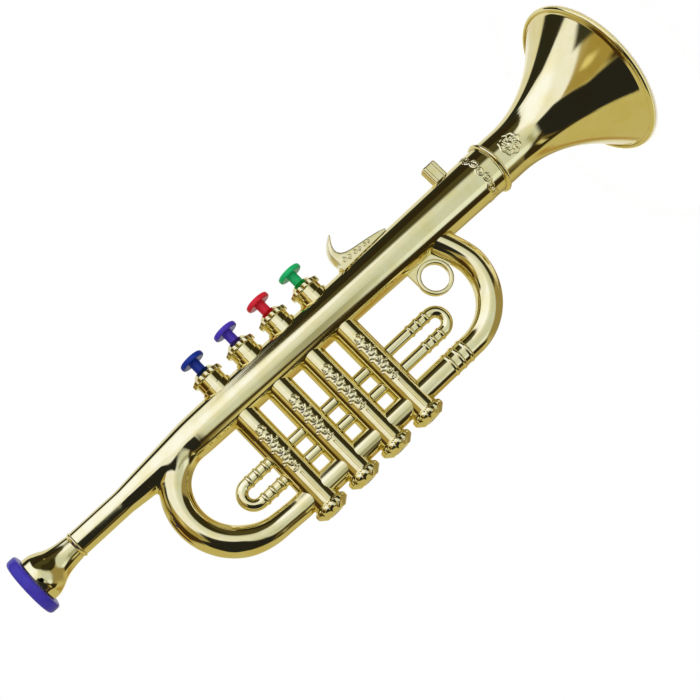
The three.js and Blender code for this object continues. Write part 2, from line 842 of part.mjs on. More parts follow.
function tubing() {
  const group = new THREE.Group();
  group.add(piece('lead_pipe', leadPipe(), gold));
  group.add(piece('left_bend', leftBend(), gold));
  group.add(piece('main_tube', mainTube(), gold));
  group.add(piece('right_bend', rightBend(), gold));
  group.add(piece('left_slide', slide(firstValveX, -leftSlideReach), gold));
  group.add(piece('right_slide', slide(lastValveX, rightSlideReach), gold));
  valveX.slice(0, -1).forEach((x, k) => {
    const number = k + 1;
    const thick = crossTube(x, -wrapDepth, lowerTubeRadius, bendSides);
    const upper = crossTube(x, -slideDepth, slideRadius, slideSides);
    const lower = crossTube(x, -slideDepth - slideGap, slideRadius, slideSides);
    group.add(piece(`lower_tube_${number}`, thick, gold));
    group.add(piece(`upper_link_${number}`, upper, gold));
    group.add(piece(`lower_link_${number}`, lower, gold));
  });
  return group;
}

function trumpet() {
  const group = new THREE.Group();
  group.add(piece('lip_ring', lipRing(), purple));
  group.add(piece('mouthpiece', mouthpiece(), gold));
  group.add(tubing());
  group.add(piece('collar_ring', collarRing(), gold));
  group.add(piece('bell', bell(), gold));
  valveX.forEach((x, k) => group.add(valve(k)));
  group.add(piece('reed_block', reedBlock(), grey));
  group.add(piece('finger_ring', fingerRing(), gold));
  group.add(piece('finger_hook', fingerHook(), gold));
  group.add(piece('lyre_post', lyrePost(), gold));
  return group;
}

// Stand the toy on its bell, with the middle of its floor space at the origin
const upright = trumpet();
upright.rotation.y = Math.PI / 2;
const toy = new THREE.Group();
toy.add(upright);
const room = new THREE.Box3().setFromObject(toy);
const middle = room.getCenter(new THREE.Vector3());
upright.position.set(-middle.x, -middle.y, -room.min.z);

export default toy;
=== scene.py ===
import math

import bpy
import numpy as np
from mathutils import Matrix, Vector


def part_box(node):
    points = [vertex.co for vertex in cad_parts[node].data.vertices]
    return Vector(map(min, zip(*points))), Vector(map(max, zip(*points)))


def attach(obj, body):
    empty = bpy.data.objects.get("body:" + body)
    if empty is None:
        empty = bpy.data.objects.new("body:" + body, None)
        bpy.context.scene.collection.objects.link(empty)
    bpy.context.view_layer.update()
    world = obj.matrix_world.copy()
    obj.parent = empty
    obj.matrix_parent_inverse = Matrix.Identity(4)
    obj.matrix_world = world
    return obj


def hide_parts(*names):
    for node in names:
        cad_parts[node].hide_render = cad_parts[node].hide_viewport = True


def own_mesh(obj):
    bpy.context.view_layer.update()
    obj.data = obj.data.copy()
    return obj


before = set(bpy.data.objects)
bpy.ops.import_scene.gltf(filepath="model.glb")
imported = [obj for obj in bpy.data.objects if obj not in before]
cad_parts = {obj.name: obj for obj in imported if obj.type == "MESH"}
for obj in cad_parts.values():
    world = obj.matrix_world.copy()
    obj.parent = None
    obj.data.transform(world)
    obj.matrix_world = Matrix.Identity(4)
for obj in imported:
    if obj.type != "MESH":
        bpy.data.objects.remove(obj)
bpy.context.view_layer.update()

# Sizes in millimetres. x runs from the lips to the bell, z towards the keys, y away from the near side
LIP_WIDTH, LIP_RADIUS, LIP_BORE, LIP_ROUND, LIP_BACK_ROUND, LIP_SEAT = 5.7, 15.8, 8.2, 2.3, 1.6, 2.5
CUP_X, CUP_RADIUS, CUP_SPIGOT, SPIGOT_LENGTH = 6.0, 12.0, 10.0, 3.2
CUP_SHARES = (
    (0.0, 0.99), (0.17, 0.97), (0.33, 0.87), (0.47, 0.733), (0.6, 0.646), (0.78, 0.583), (1.0, 0.535),
)
BOWL_SHARES = ((0.75, 0.25), (0.65, 0.52), (0.5, 0.78), (0.3, 0.93), (0, 1.0), (-0.13, 1.0))
SHANK_RADIUS, SHANK_LENGTH, SHANK_BORE = 4.1, 17, 2.0
# The last vent value is a near-black colour, painted on the vent's floor as painted shade in the hole
VENT_RADIUS, VENT_X, VENT_Z, VENT_DEPTH, VENT_PAINTED_SHADE = 0.9, 8.2, -3.0, 2.2, (0.01, 0.008, 0.005, 1)
LEAD_X, LEAD_RADIUS, LEAD_TAPER, LEAD_BORE = 28.3, 6.45, 14.0, 4.2
RECEIVER_RADIUS, RECEIVER_WIDTH, RECEIVER_START, RECEIVER_SHARE = 7.0, 3.0, 0.3, 0.45
SOCKET_X, SOCKET_RADIUS, SOCKET_BORE, BEND_X, BEND_EASE = 72.0, 7.7, 5.2, 104.0, 97.0
TUBE_X, TUBE_START, TUBE_END, WALL, TUCK_SLOPE, TUCK = 108.3, 10.5, 13.6, 1.5, 0.3, 0.6
VALVE_X = (128.6, 150.6, 172.6, 194.6)
STEM_HOLE, STEM_HOLE_TURN, TUBE_ROWS_X = 3.2, 0.31, (240.0, 270.0)
WRAP_X, WRAP_DEPTH, WRAP_LEAN, WRAP_TOP_RADIUS, LEG_RADIUS, LOWER_RADIUS = 266.7, 60.0, 10.7, 7.55, 6.35, 6.7
LEFT_BEND, LEFT_OPEN, LEG_END, LEG_GAP, RIGHT_BEND, PATH_STEP = 29.04, 0.033, 117.6, 4, 30.9, 0.2
BLEND_REACH, BLEND_FULL_X, BLEND_END_X = 2.2, 86, 101
BEND_LOW, BEND_HIGH, BEND_CELL = (64.0, -12.0, -69.0), (126.0, 12.0, 12.5), 0.6
SWELL_SHARES = (1, 0.77, 0.57, 0.42, 0.39, 0.4, 0.41, 0.4, 0.39, 0.35, 0.19, 0.05, 0, 0)
SWELL_STEPS = 11
SLIDE_RADIUS, SLIDE_UPPER, SLIDE_LOWER, SLIDE_LEFT_X, SLIDE_RIGHT_X = 3.15, -33.84, -45.24, 106.0, 230.3
SLIDE_BAND, LEG_BAND, BAND_WIDTH, BAND_PITCH, BAND_EDGE = 0.45, 0.35, 2.3, 5.2, 0.8
HOOK_X, HOOK_LENGTH, HOOK_HEIGHT, HOOK_WIDTH, HOOK_EDGE, HOOK_FOOT = 214.4, 31.3, 18.1, 9.0, 0.3, 0.7
BORDER_INSET, BORDER_WIRE, CURL_WIRE = 0.55, 0.3, 0.34
HORN_SHARES = (
    (1.0, 0.058), (0.863, 0.13), (0.578, 0.214), (0.4, 0.255), (0.265, 0.305), (0.178, 0.39), (0.142, 0.505),
    (0.148, 0.616), (0.172, 0.727), (0.213, 0.843), (0.258, 0.95), (0.25, 0.985), (0.222, 0.965),
    (0.122, 0.843), (0.07, 0.727), (0.036, 0.616), (0.02, 0.505), (0.016, 0.395), (0.016, 0.31),
    (0.02, 0.22), (0.01, 0.13), (-0.02, 0.06),
)
HOOK_CURLS = (
    (0.14, 0.15, 0.5, 1.6), (0.25, 0.13, 3.4, 1.5), (0.36, 0.12, 0.4, 1.4),
    (0.46, 0.11, 3.3, 1.25), (0.56, 0.1, 0.5, 1.1), (0.65, 0.09, 3.4, 0.9),
)
RING_X, RING_DEPTH, RING_HOLE, RING_RADIUS, RING_THICKNESS, RING_ROUND = 247.0, 22.72, 7.2, 9.6, 3.8, 1.12
WEB_THICKNESS, WEB_ARC = 2.6, (268, 456)
POST_X, POST_LENGTH, POST_TOP, POST_THICKNESS = 282.6, 8.8, 23.07, 5.4
RIDGE_HEIGHT, RIDGE_START, RIDGE_END = 0.6, 0.8, 2.4
COLLAR_X, COLLAR_WIDTH, COLLAR_HEIGHT, COLLAR_STEP, COLLAR_BEAD = 310.5, 3.8, 1.35, 0.3, 1.2
THROAT_RADIUS, FLARE_X, FLARE_LENGTH, FLARE_POWER = 13.7, 323.0, 63.3, 2.03
RIM_X, RIM_RADIUS, RIM_BEAD, RIM_LINE, LINE_SHARES = 386.3, 44.4, 1.6, 0.35, (0.972, 0.992)
CASING_RADIUS, CASING_WALL, CASING_END = 7.6, 1.4, -67.1
GROOVE_DEPTH, GROOVE_OUT, GROOVE_IN, GROOVE_HIGH, GROOVE_LOW = 0.7, 0.62, 0.36, -48.0, -48.6
RIM_FLANGE, CAP_FACE, FLANGE_HIGH, FLANGE_LOW, FACE_Z = 9.35, 5.6, -68.3, -70.9, -73.8
DISH_RADIUS, DISH_DEPTH, BOSS_RADIUS, BOSS_DEPTH = 3.8, 0.8, 1.1, 0.3
FOOT_RADIUS, FOOT_HEIGHT, FOOT_LOW, CAP_RADIUS, LOBE_RADIUS, LOBES = 8.3, 0.8, 9.0, 7.3, 8.75, 12
LOBE_START, LOBE_END, CAP_CONE, CAP_TOP, CAP_BORE, CAP_WALL = 16.6, 19.2, 4.8, 21.8, 6.0, 1.3
KEY_RADIUS, KEY_UNDER, KEY_EDGE, KEY_TOP, STEM_RADIUS = 6.75, 27.7, 30.45, 30.9, 2.7
STEM_COLLAR, STEM_COLLAR_LOW, STEM_COLLAR_HIGH = 4.6, 19.4, 20.2
STEM_END, PIN_END, PIN_RADIUS = 4.7, 1.7, 1.5
SPRING_RADIUS, SPRING_WIRE, SPRING_CURLS, KEY_TRAVEL, FIT, POLE = 3.9, 0.35, 4, 3.5, 0.3, 0.02
KEY_NAMES = ("blue", "violet", "red", "green")

# Where each relief is centred or runs from and to, and its width and height
TUBE_SCROLLS_X, TUBE_SCROLLS_FROM, TUBE_SCROLLS_TO, TUBE_SCROLLS_PITCH = 300.4, 294.5, 306.6, 5.1
TUBE_SCROLLS_WIDTH, TUBE_SCROLLS_HEIGHT = 0.55, 0.24
CASING_SCROLLS_FROM, CASING_SCROLLS_TO = -17.6, -47.4
CASING_SCROLLS_WIDTH, CASING_SCROLLS_HEIGHT = 0.46, 0.27
ROSETTE_X, ROSETTE_FROM, ROSETTE_TO, ROSETTE_RADIUS, ROSETTE_HEIGHT = 322.2, 315.4, 328.8, 6.2, 0.22
RELIEF_STEP, BELL_STEP = 0.2, 0.21

bell_low, bell_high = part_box("bell")
AXIS_X = 500 * (bell_low.x + bell_high.x)
LIP_Z = 1000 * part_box("lip_ring")[1].z


def to_row(points):
    """Trumpet millimetres to the row frame in metres: X = axis + z, Y = y, Z = lips - x, over 1000."""
    p = np.asarray(points, float).reshape(-1, 3)
    return np.stack([AXIS_X + p[:, 2], p[:, 1], LIP_Z - p[:, 0]], -1) / 1000


def mix(a, b, share):
    """a + (b - a) times share."""
    return a + (b - a) * share


def smooth(value, low, high):
    """0 below low, 1 above high, and 3t^2 - 2t^3 between."""
    t = np.clip((value - low) / (high - low), 0, 1)
    return t * t * (3 - 2 * t)


def ridge(away, width):
    """A round-topped line across: (1 - (away / width)^2)^2 within the width, and 0 outside."""
    return np.clip(1 - (away / width) ** 2, 0, 1) ** 2


def turns(count):
    """count even angles round a full turn, as one row."""
    return np.linspace(0, 2 * np.pi, count, endpoint=False)[None, :]


def column(values):
    """A list of values as one column."""
    return np.asarray(values, float)[:, None]


def rounded(corners, steps):
    """A closed outline of corners given as two places and a radius. Each corner c is swapped for the curve
    (1-t)^2 a + 2t(1-t) c + t^2 b, where a and b lie the radius away on its sides, between two support
    points."""
    given = np.asarray(corners, float)
    c, cut = given[:, :2], given[:, 2:]
    before, after = np.roll(c, 1, 0) - c, np.roll(c, -1, 0) - c
    long_before, long_after = (np.linalg.norm(side, axis=1, keepdims=True) for side in (before, after))
    reach = np.minimum(cut, 0.4 * np.minimum(long_before, long_after))
    a, b = c + before / long_before * reach, c + after / long_after * reach
    first, last = c + before / long_before * reach * 1.2, c + after / long_after * reach * 1.2
    t = np.linspace(0, 1, steps)[None, :, None]
    curve = (1 - t) ** 2 * a[:, None] + 2 * t * (1 - t) * c[:, None] + t ** 2 * b[:, None]
    points = np.concatenate([first[:, None], curve, last[:, None]], 1).reshape(-1, 2)
    keep = np.linalg.norm(points - np.roll(points, 1, 0), axis=1) > 1e-4
    return points[keep]


def spline(points, per=8):
    """A smooth curve through the points: 0.5 (2b + (c-a)t + (2a-5b+4c-d)t^2 + (3b-a-3c+d)t^3)."""
    p = np.asarray(points, float)
    p = np.concatenate([2 * p[:1] - p[1:2], p, 2 * p[-1:] - p[-2:-1]])
    a, b, c, d = (p[k:len(p) - 3 + k, None] for k in range(4))
    t = np.linspace(0, 1, per, endpoint=False)[None, :, None]
    square, cube = (2 * a - 5 * b + 4 * c - d) * t ** 2, (3 * b - a - 3 * c + d) * t ** 3
    curve = 0.5 * (2 * b + (c - a) * t + square + cube)
    return np.concatenate([curve.reshape(-1, p.shape[1]), p[-2:-1]])


def points_of(*parts):
    """The parts spread to one shape and set side by side as the places of points."""
    return np.stack(np.broadcast_arrays(*parts), -1)


def about_tube(along, radius, turn):
    """Points about the main tube: turn 0 faces the keys and a quarter turn faces the near side."""
    return points_of(along, -radius * np.sin(turn), radius * np.cos(turn))


def about_valve(x, along, radius, turn):
    """Points about a valve at x: turn 0 faces the near side and a quarter turn faces the bell."""
    return points_of(x + radius * np.sin(turn), -radius * np.cos(turn), along)


def turned_outline(outline, sides):
    """An outline of (x, radius) turned about the main tube."""
    return about_tube(column(outline[:, 0]), column(outline[:, 1]), turns(sides))


def pipe(path, radius, sides):
    """Rings about a path of (x, z): point = path + r cos(turn) left + r sin(turn) y."""
    path = np.asarray(path, float)
    ahead = np.gradient(path, axis=0)
    ahead /= np.linalg.norm(ahead, axis=1)[:, None]
    turn = turns(sides)
    radius = column(np.broadcast_to(radius, len(path)))
    x = column(path[:, 0]) - ahead[:, 1:] * radius * np.cos(turn)
    z = column(path[:, 1]) + ahead[:, :1] * radius * np.cos(turn)
    return points_of(x, radius * np.sin(turn), z)


def turn_outwards(mesh):
    """Flips the faces if the sum of a . (b x c) over the triangles, six times the volume, is below zero."""
    mesh.calc_loop_triangles()
    corners = np.empty(len(mesh.loop_triangles) * 3, np.int32)
    mesh.loop_triangles.foreach_get("vertices", corners)
    places = np.empty(len(mesh.vertices) * 3)
    mesh.vertices.foreach_get("co", places)
    places = places.reshape(-1, 3) - places.reshape(-1, 3).mean(0)
    a, b, c = places[corners.reshape(-1, 3)].transpose(1, 0, 2)
    if np.einsum("ij,ij->i", a, np.cross(b, c)).sum() < 0:
        mesh.flip_normals()


# The last word of a piece's name by its slot, where it isn't moulded
SURFACE_WORDS = {"gold": "plated", "spring_steel": "wound"}


def add_piece(node, points, faces, finish, slot="gold", body="trumpet", sharp=34, facing=None):
    """One closed mesh at the origin that rides on a body and stands for a CAD node. It is smooth but for
    edges past sharp degrees, or it has the normals given as facing."""
    name = f"{node}_{SURFACE_WORDS.get(slot, 'moulded')}"
    mesh = bpy.data.meshes.new(name)
    mesh.from_pydata(to_row(points).tolist(), [], faces)
    turn_outwards(mesh)
    mesh.shade_smooth()
    if facing is None:
        mesh.set_sharp_from_angle(angle=math.radians(sharp))
    else:
        mesh.normals_split_custom_set_from_vertices(facing.tolist())
    mesh.materials.append(finish)
    piece = bpy.data.objects.new(name, mesh)
    bpy.context.scene.collection.objects.link(piece)
    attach(piece, body)
    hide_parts(node)
    return piece


def grid_quads(rows, columns, loop):
    """Quads join row i to i + 1 and column j to j + 1. Columns wrap round, and on a loop rows do too."""
    i = np.arange(rows if loop else rows - 1)[:, None]
    j = np.arange(columns)[None, :]
    here, after = i * columns, (i + 1) % rows * columns
    return np.stack([here + j, after + j, after + (j + 1) % columns, here + (j + 1) % columns], -1)


def end_faces(rows, columns):
    """The flat faces that close the first and the last row."""
    return [np.arange(columns), np.arange((rows - 1) * columns, rows * columns)[::-1]]


def make_piece(node, grid, finish, slot="gold", body="trumpet", loop=True, drop=None, sharp=34):
    """A skin over a grid, closed at its ends unless its rows are a loop. drop marks quads to leave out."""
    rows, columns = grid.shape[:2]
    quads = grid_quads(rows, columns, loop)
    faces = (quads if drop is None else quads[~drop[:len(quads)]]).reshape(-1, 4).tolist()
    if not loop:
        faces += [face.tolist() for face in end_faces(rows, columns)]
    return add_piece(node, grid, faces, finish, slot, body, sharp)


def facing_out(grid, loop, start):
    """Points and faces of a closed grid, numbered from start and turned so that six times its volume, the
    sum of a . (b x c), is above zero."""
    rows, columns = grid.shape[:2]
    quads = grid_quads(rows, columns, loop).reshape(-1, 4)
    points = grid.reshape(-1, 3)
    a, b, c, d = (points - points.mean(0))[quads].transpose(1, 0, 2)
    six = np.einsum("ij,ij->i", a, np.cross(b, c)).sum() + np.einsum("ij,ij->i", a, np.cross(c, d)).sum()
    way = 1 if six > 0 else -1
    ends = [] if loop else end_faces(rows, columns)
    return points, (quads[:, ::way] + start).tolist() + [(face[::way] + start).tolist() for face in ends]


def make_joined(node, grids, sharp):
    """One piece from the grids of one cast part. Each grid comes with True if its rows are a loop."""
    points, faces, start = [], [], 0
    for grid, loop in grids:
        more, rings = facing_out(grid, loop, start)
        points.append(more)
        faces += rings
        start += len(more)
    add_piece(node, np.concatenate(points), faces, TRIM_GOLD, sharp=sharp)


def strokes_height(across, along, strokes, width, height):
    """Raised wire: height (1 - (d / width)^2)^2, with d the distance to the nearest point of a stroke."""
    shape = np.broadcast_shapes(np.shape(across), np.shape(along))
    spots = points_of(across, along).reshape(-1, 2)
    nearest = np.full(len(spots), np.inf)
    for stroke in strokes:
        gap = ((spots[:, None, :] - stroke[None, :, :]) ** 2).sum(-1).min(1)
        nearest = np.minimum(nearest, gap)
    return (height * np.clip(1 - nearest / width ** 2, 0, 1) ** 2).reshape(shape)


def curl(x, y, start, count, inner, outer):
    """A spiral: radius from inner to outer over count turns from the angle start."""
    t = np.linspace(0, 1, int(26 * abs(count)) + 6)
    angle = start + 2 * np.pi * count * t
    reach = mix(inner, outer, t)
    return points_of(x + reach * np.cos(angle), y + reach * np.sin(angle))


# Node helpers for the finishes and the studio

def new_group(name, inputs, outputs):
    """An empty node group. Each input is a float of that value, or a vector for None. Outputs are floats."""
    tree = bpy.data.node_groups.new(name, "ShaderNodeTree")
    for title, value in inputs.items():
        kind = "NodeSocketVector" if value is None else "NodeSocketFloat"
        made = tree.interface.new_socket(title, in_out="INPUT", socket_type=kind)
        if value is not None:
            made.default_value = value
    for title in outputs:
        tree.interface.new_socket(title, in_out="OUTPUT", socket_type="NodeSocketFloat")
    return tree, tree.nodes.new("NodeGroupInput").outputs, tree.nodes.new("NodeGroupOutput").inputs


def add_node(tree, kind, settings=None, **inputs):
    """A node with its settings and its inputs, by name or as _ and a number. A socket is linked."""
    node = tree.nodes.new(kind)
    for name, value in (settings or {}).items():
        setattr(node, name, value)
    for name, value in inputs.items():
        place = node.inputs[int(name[1:]) if name[0] == "_" else name.replace("_", " ")]
        if isinstance(value, bpy.types.NodeSocket):
            tree.links.new(value, place)
        else:
            place.default_value = value
    return node


def calculate(tree, operation, a, b=0.0, clamp=False):
    """One Math node's result."""
    settings = {"operation": operation, "use_clamp": clamp}
    return add_node(tree, "ShaderNodeMath", settings, _0=a, _1=b).outputs[0]


def measure(tree, operation, **inputs):
    """One Vector Math node's number, such as a length or a dot product."""
    return add_node(tree, "ShaderNodeVectorMath", {"operation": operation}, **inputs).outputs["Value"]


def blend_colours(tree, share, a, b):
    """One Mix node's colour."""
    return add_node(tree, "ShaderNodeMix", {"data_type": "RGBA"}, _0=share, _6=a, _7=b).outputs[2]


def object_place(tree):
    """The place on the piece, in Object coordinates."""
    return add_node(tree, "ShaderNodeTexCoord").outputs["Object"]


def handling_group():
    """Marks of play: broad smudges and fine specks from two noises, as masks from 0 to 1."""
    sizes = {"Smudge Size": 90.0, "Speck Size": 1500.0}
    tree, start, end = new_group("handling marks", sizes, ("Smudges", "Specks"))
    place = object_place(tree)
    broad = add_node(tree, "ShaderNodeTexNoise", Vector=place, Scale=start["Smudge Size"],
                     Detail=4.0, Roughness=0.6)
    fine = add_node(tree, "ShaderNodeTexNoise", Vector=place, Scale=start["Speck Size"], Detail=2.0)
    for noise, low, high, title in ((broad, 0.42, 0.72, "Smudges"), (fine, 0.62, 0.74, "Specks")):
        mask = add_node(tree, "ShaderNodeMapRange", Value=noise.outputs[0], From_Min=low, From_Max=high)
        tree.links.new(mask.outputs[0], end[title])
    return tree


def moulding_group():
    """The unevenness of moulded plastic: a slow sink wave and a fine orange peel, added into one height."""
    sizes = {"Wave Size": 45.0, "Wave Height": 1.0, "Peel Size": 700.0, "Peel Height": 0.1}
    tree, start, end = new_group("moulded unevenness", sizes, ("Height",))
    place = object_place(tree)
    long_way = add_node(tree, "ShaderNodeMapping", Vector=place, Scale=(1.0, 1.0, 0.35)).outputs[0]
    wave = add_node(tree, "ShaderNodeTexNoise", Vector=long_way, Scale=start["Wave Size"], Detail=1.0)
    peel = add_node(tree, "ShaderNodeTexNoise", Vector=place, Scale=start["Peel Size"], Detail=2.0)
    high = calculate(tree, "MULTIPLY", wave.outputs[0], start["Wave Height"])
    low = calculate(tree, "MULTIPLY", peel.outputs[0], start["Peel Height"])
    tree.links.new(calculate(tree, "ADD", high, low), end["Height"])
    return tree


HANDLING = handling_group()
MOULDING = moulding_group()


def new_finish(name, marks, uneven, colours, bump, rough, spread, cover=1.0, grain=0.0):
    """A material and its shader. Smudges turn the first colour to the second, by the share cover, and add
    spread to the roughness. Specks add grain to it. The unevenness makes a bump of (strength, distance)."""
    finish = bpy.data.materials.new(name)
    finish.use_nodes = True
    tree = finish.node_tree
    shader = tree.nodes["Principled BSDF"]
    marks = add_node(tree, "ShaderNodeGroup", {"node_tree": HANDLING}, **marks)
    uneven = add_node(tree, "ShaderNodeGroup", {"node_tree": MOULDING}, **uneven)
    smudges = marks.outputs["Smudges"]
    share = smudges if cover == 1.0 else calculate(tree, "MULTIPLY", smudges, cover)
    tree.links.new(blend_colours(tree, share, *colours), shader.inputs["Base Color"])
    worn = calculate(tree, "MULTIPLY", smudges, spread)
    if grain:
        worn = calculate(tree, "ADD", worn, calculate(tree, "MULTIPLY", marks.outputs["Specks"], grain))
    tree.links.new(calculate(tree, "ADD", worn, rough), shader.inputs["Roughness"])
    strength, distance = bump
    skin = add_node(tree, "ShaderNodeBump", Height=uneven.outputs[0], Strength=strength, Distance=distance)
    tree.links.new(skin.outputs[0], shader.inputs["Normal"])
    return finish, shader


PALE_GOLD, DEEP_GOLD = (0.875, 0.785, 0.385, 1), (0.83, 0.71, 0.27, 1)


def plated_gold(name, wave=0.6, wave_size=45.0, peel=0.025, smudge_size=90.0, rough=0.045):
    """Bright gold plating on moulded plastic: metal with a slow wave, faint peel and thin smudges."""
    uneven = {"Wave_Height": wave, "Wave_Size": wave_size, "Peel_Height": peel}
    finish, shader = new_finish(name, {"Smudge_Size": smudge_size}, uneven, (PALE_GOLD, DEEP_GOLD),
                                (0.35, 0.0004), rough, spread=0.05, grain=0.05)
    shader.inputs["Metallic"].default_value = 1.0
    return finish


def moulded_plastic(name, colour, pale, rough=0.24, peel=0.06):
    """Solid coloured plastic: paler smudges, a fine moulded skin and a soft gloss."""
    marks = {"Smudge_Size": 160.0, "Speck_Size": 2600.0}
    uneven = {"Wave_Height": 0.6, "Wave_Size": 110.0, "Peel_Height": peel, "Peel_Size": 1500.0}
    finish, shader = new_finish(name, marks, uneven, ((*colour, 1), (*pale, 1)),
                                (0.25, 0.0003), rough, spread=0.14, cover=0.35)
    shader.inputs["Specular IOR Level"].default_value = 0.3
    shader.inputs["IOR"].default_value = 1.38
    return finish


def worked_metal(name, colour, dull, rough):
    """Drawn wire or stamped sheet: metal with dull patches and a brushed height."""
    marks = {"Smudge_Size": 400.0, "Speck_Size": 3000.0}
    uneven = {"Wave_Height": 0.3, "Peel_Height": 0.5, "Peel_Size": 2200.0}
    finish, shader = new_finish(name, marks, uneven, ((*colour, 1), (*dull, 1)),
                                (0.4, 0.0002), rough, spread=0.2)
    shader.inputs["Metallic"].default_value = 1.0
    return finish


TUBE_GOLD = plated_gold("tube gold")
BELL_GOLD = plated_gold("bell gold", wave=0.9, wave_size=32.0, smudge_size=60.0)
VALVE_GOLD = plated_gold("valve gold", wave=0.8, wave_size=120.0, peel=0.03, smudge_size=200.0)
TRIM_GOLD = plated_gold("trim gold", wave=0.6, wave_size=160.0, peel=0.04, smudge_size=180.0, rough=0.07)
LIP_PURPLE = moulded_plastic("lip purple", (0.036, 0.024, 0.30), (0.07, 0.05, 0.42), rough=0.3, peel=0.03)
KEY_FINISHES = {
    "blue": moulded_plastic("key blue", (0.004, 0.02, 0.2), (0.012, 0.04, 0.3)),
    "violet": moulded_plastic("key violet", (0.05, 0.026, 0.32), (0.09, 0.05, 0.44)),
    "red": moulded_plastic("key red", (0.52, 0.006, 0.02), (0.68, 0.03, 0.05)),
    "green": moulded_plastic("key green", (0.006, 0.36, 0.1), (0.02, 0.46, 0.16)),
}
REED_GREY = moulded_plastic("reed block grey", (0.22, 0.225, 0.23), (0.3, 0.3, 0.31), rough=0.5)
PISTON_GREY = moulded_plastic("piston grey", (0.3, 0.3, 0.31), (0.4, 0.4, 0.4), rough=0.4)
REED_BRASS = worked_metal("reed brass", (0.78, 0.55, 0.2), (0.5, 0.34, 0.13), 0.28)
SPRING_STEEL = worked_metal("spring steel", (0.62, 0.63, 0.65), (0.42, 0.42, 0.43), 0.25)


def tube_radius(x):
    """Outer radius of the main tube, a straight taper between its two ends."""
    return mix(TUBE_START, TUBE_END, (np.asarray(x, float) - TUBE_X) / (COLLAR_X - TUBE_X))


def tube_top(x, across):
    """Height of the main tube's skin above its axis at x, that far to the side: sqrt(r^2 - y^2)."""
    return np.sqrt(np.maximum(tube_radius(x) ** 2 - across ** 2, 0))


def lip_ring():
    """Turned ring: a rounded rectangle about the bore, with a step behind for the cup."""
    seat = CUP_SPIGOT + FIT
    outline = rounded([(0, LIP_BORE, LIP_ROUND), (0, LIP_RADIUS, LIP_ROUND),
                       (LIP_WIDTH, LIP_RADIUS, LIP_BACK_ROUND), (LIP_WIDTH, seat, 0.2),
                       (LIP_SEAT, seat, 0.1), (LIP_SEAT, LIP_BORE, 0.1)], 9)
    make_piece("lip_ring", turned_outline(outline, 128), LIP_PURPLE, "purple")


def gold_with_painted_vent_shade():
    """The tube's gold with painted shade on the vent's floor: a near-black colour by a mask, 1 within 1.6 mm
    of the middle of that floor and 0 from 1.9 mm on."""
    finish = plated_gold("mouthpiece gold")
    tree = finish.node_tree
    middle = to_row([(VENT_X, VENT_DEPTH - CUP_RADIUS, VENT_Z)])[0]
    away = measure(tree, "DISTANCE", _0=object_place(tree), _1=tuple(middle))
    # Painted shade: the vent's floor is coloured near black to stand for the shade in the hole
    painted_shade = add_node(tree, "ShaderNodeMapRange", {"interpolation_type": "SMOOTHSTEP"}, Value=away,
                    From_Min=0.0019, From_Max=0.0016).outputs[0]
    base = tree.nodes["Principled BSDF"].inputs["Base Color"]
    tree.links.new(blend_colours(tree, painted_shade, base.links[0].from_socket, VENT_PAINTED_SHADE), base)
    return finish


def mouthpiece():
    """Turned cup: its outside and its bowl in shares of length and radius, and a shank. The vent is a round
    hole on the near side, VENT_DEPTH times 1 - (d / r)^10 deep."""
    body = LEAD_X - CUP_X
    outside = spline([(CUP_X + body * s, CUP_RADIUS * r) for s, r in CUP_SHARES], 12)
    bowl = spline([(CUP_X + body * s, LIP_BORE * r) for s, r in BOWL_SHARES], 6)
    spigot = [(CUP_X - SPIGOT_LENGTH, CUP_SPIGOT), (CUP_X, CUP_SPIGOT),
              (CUP_X + 0.03, CUP_RADIUS * 0.94), (CUP_X + 0.08, CUP_RADIUS * 0.975)]
    end = LEAD_X + SHANK_LENGTH
    shank = [(LEAD_X, SHANK_RADIUS), (end, SHANK_RADIUS), (end, SHANK_BORE)]
    outline = np.concatenate([spigot, outside[1:], shank, bowl])
    turn = turns(288)
    along, radius = column(outline[:, 0]), column(outline[:, 1])
    away = np.hypot(along - VENT_X, radius * np.cos(turn) - VENT_Z) / VENT_RADIUS
    near_side = (np.sin(turn) > 0) & (radius > CUP_RADIUS * 0.6) & (along > CUP_X + 0.1)
    radius = radius - VENT_DEPTH * np.clip(1 - away ** 10, 0, 1) * near_side
    make_piece("mouthpiece", about_tube(along, radius, turn), gold_with_painted_vent_shade())


def lead_pipe():
    """Turned pipe: a bead where the shank goes in, sin(pi t)^0.5 high, a straight run and a taper to the
    bend."""
    t = np.linspace(0, 1, 15)
    bead = points_of(LEAD_X + RECEIVER_WIDTH * (RECEIVER_START + RECEIVER_SHARE * t),
                     LEAD_RADIUS + (RECEIVER_RADIUS - LEAD_RADIUS) * np.sin(np.pi * t) ** 0.5)
    taper = SOCKET_X - LEAD_TAPER
    run = spline([(taper - 4, LEAD_RADIUS), (taper + 1, LEAD_RADIUS + 0.06),
                  (SOCKET_X - LEAD_TAPER * 0.6, mix(LEAD_RADIUS, SOCKET_RADIUS, 0.38)),
                  (SOCKET_X, SOCKET_RADIUS)])
    start = [(LEAD_X, LEAD_BORE), (LEAD_X, LEAD_RADIUS - 0.3)]
    behind = [(LEAD_X + RECEIVER_WIDTH + 0.3, LEAD_RADIUS)]
    outline = np.concatenate([start, bead[1:], behind, run, [(SOCKET_X, SOCKET_BORE)]])
    make_piece("lead_pipe", turned_outline(outline, 128), TUBE_GOLD)


def bend_radius(x):
    """Radius of the bend in line with the tube: it widens evenly, and from BEND_EASE its slope falls evenly
    to the tube's own. Past the tube's start it drops inside the tube."""
    taper = (TUBE_END - TUBE_START) / (COLLAR_X - TUBE_X)
    ease = TUBE_X - BEND_EASE
    slope = (TUBE_START - SOCKET_RADIUS - taper * ease / 2) / (BEND_EASE - SOCKET_X + ease / 2)
    eased = (slope - taper) * np.clip(x - BEND_EASE, 0, ease) ** 2 / (2 * ease)
    widening = SOCKET_RADIUS + slope * (x - SOCKET_X) - eased
    return np.where(x > TUBE_X, TUBE_START - TUCK_SLOPE * (x - TUBE_X), widening)


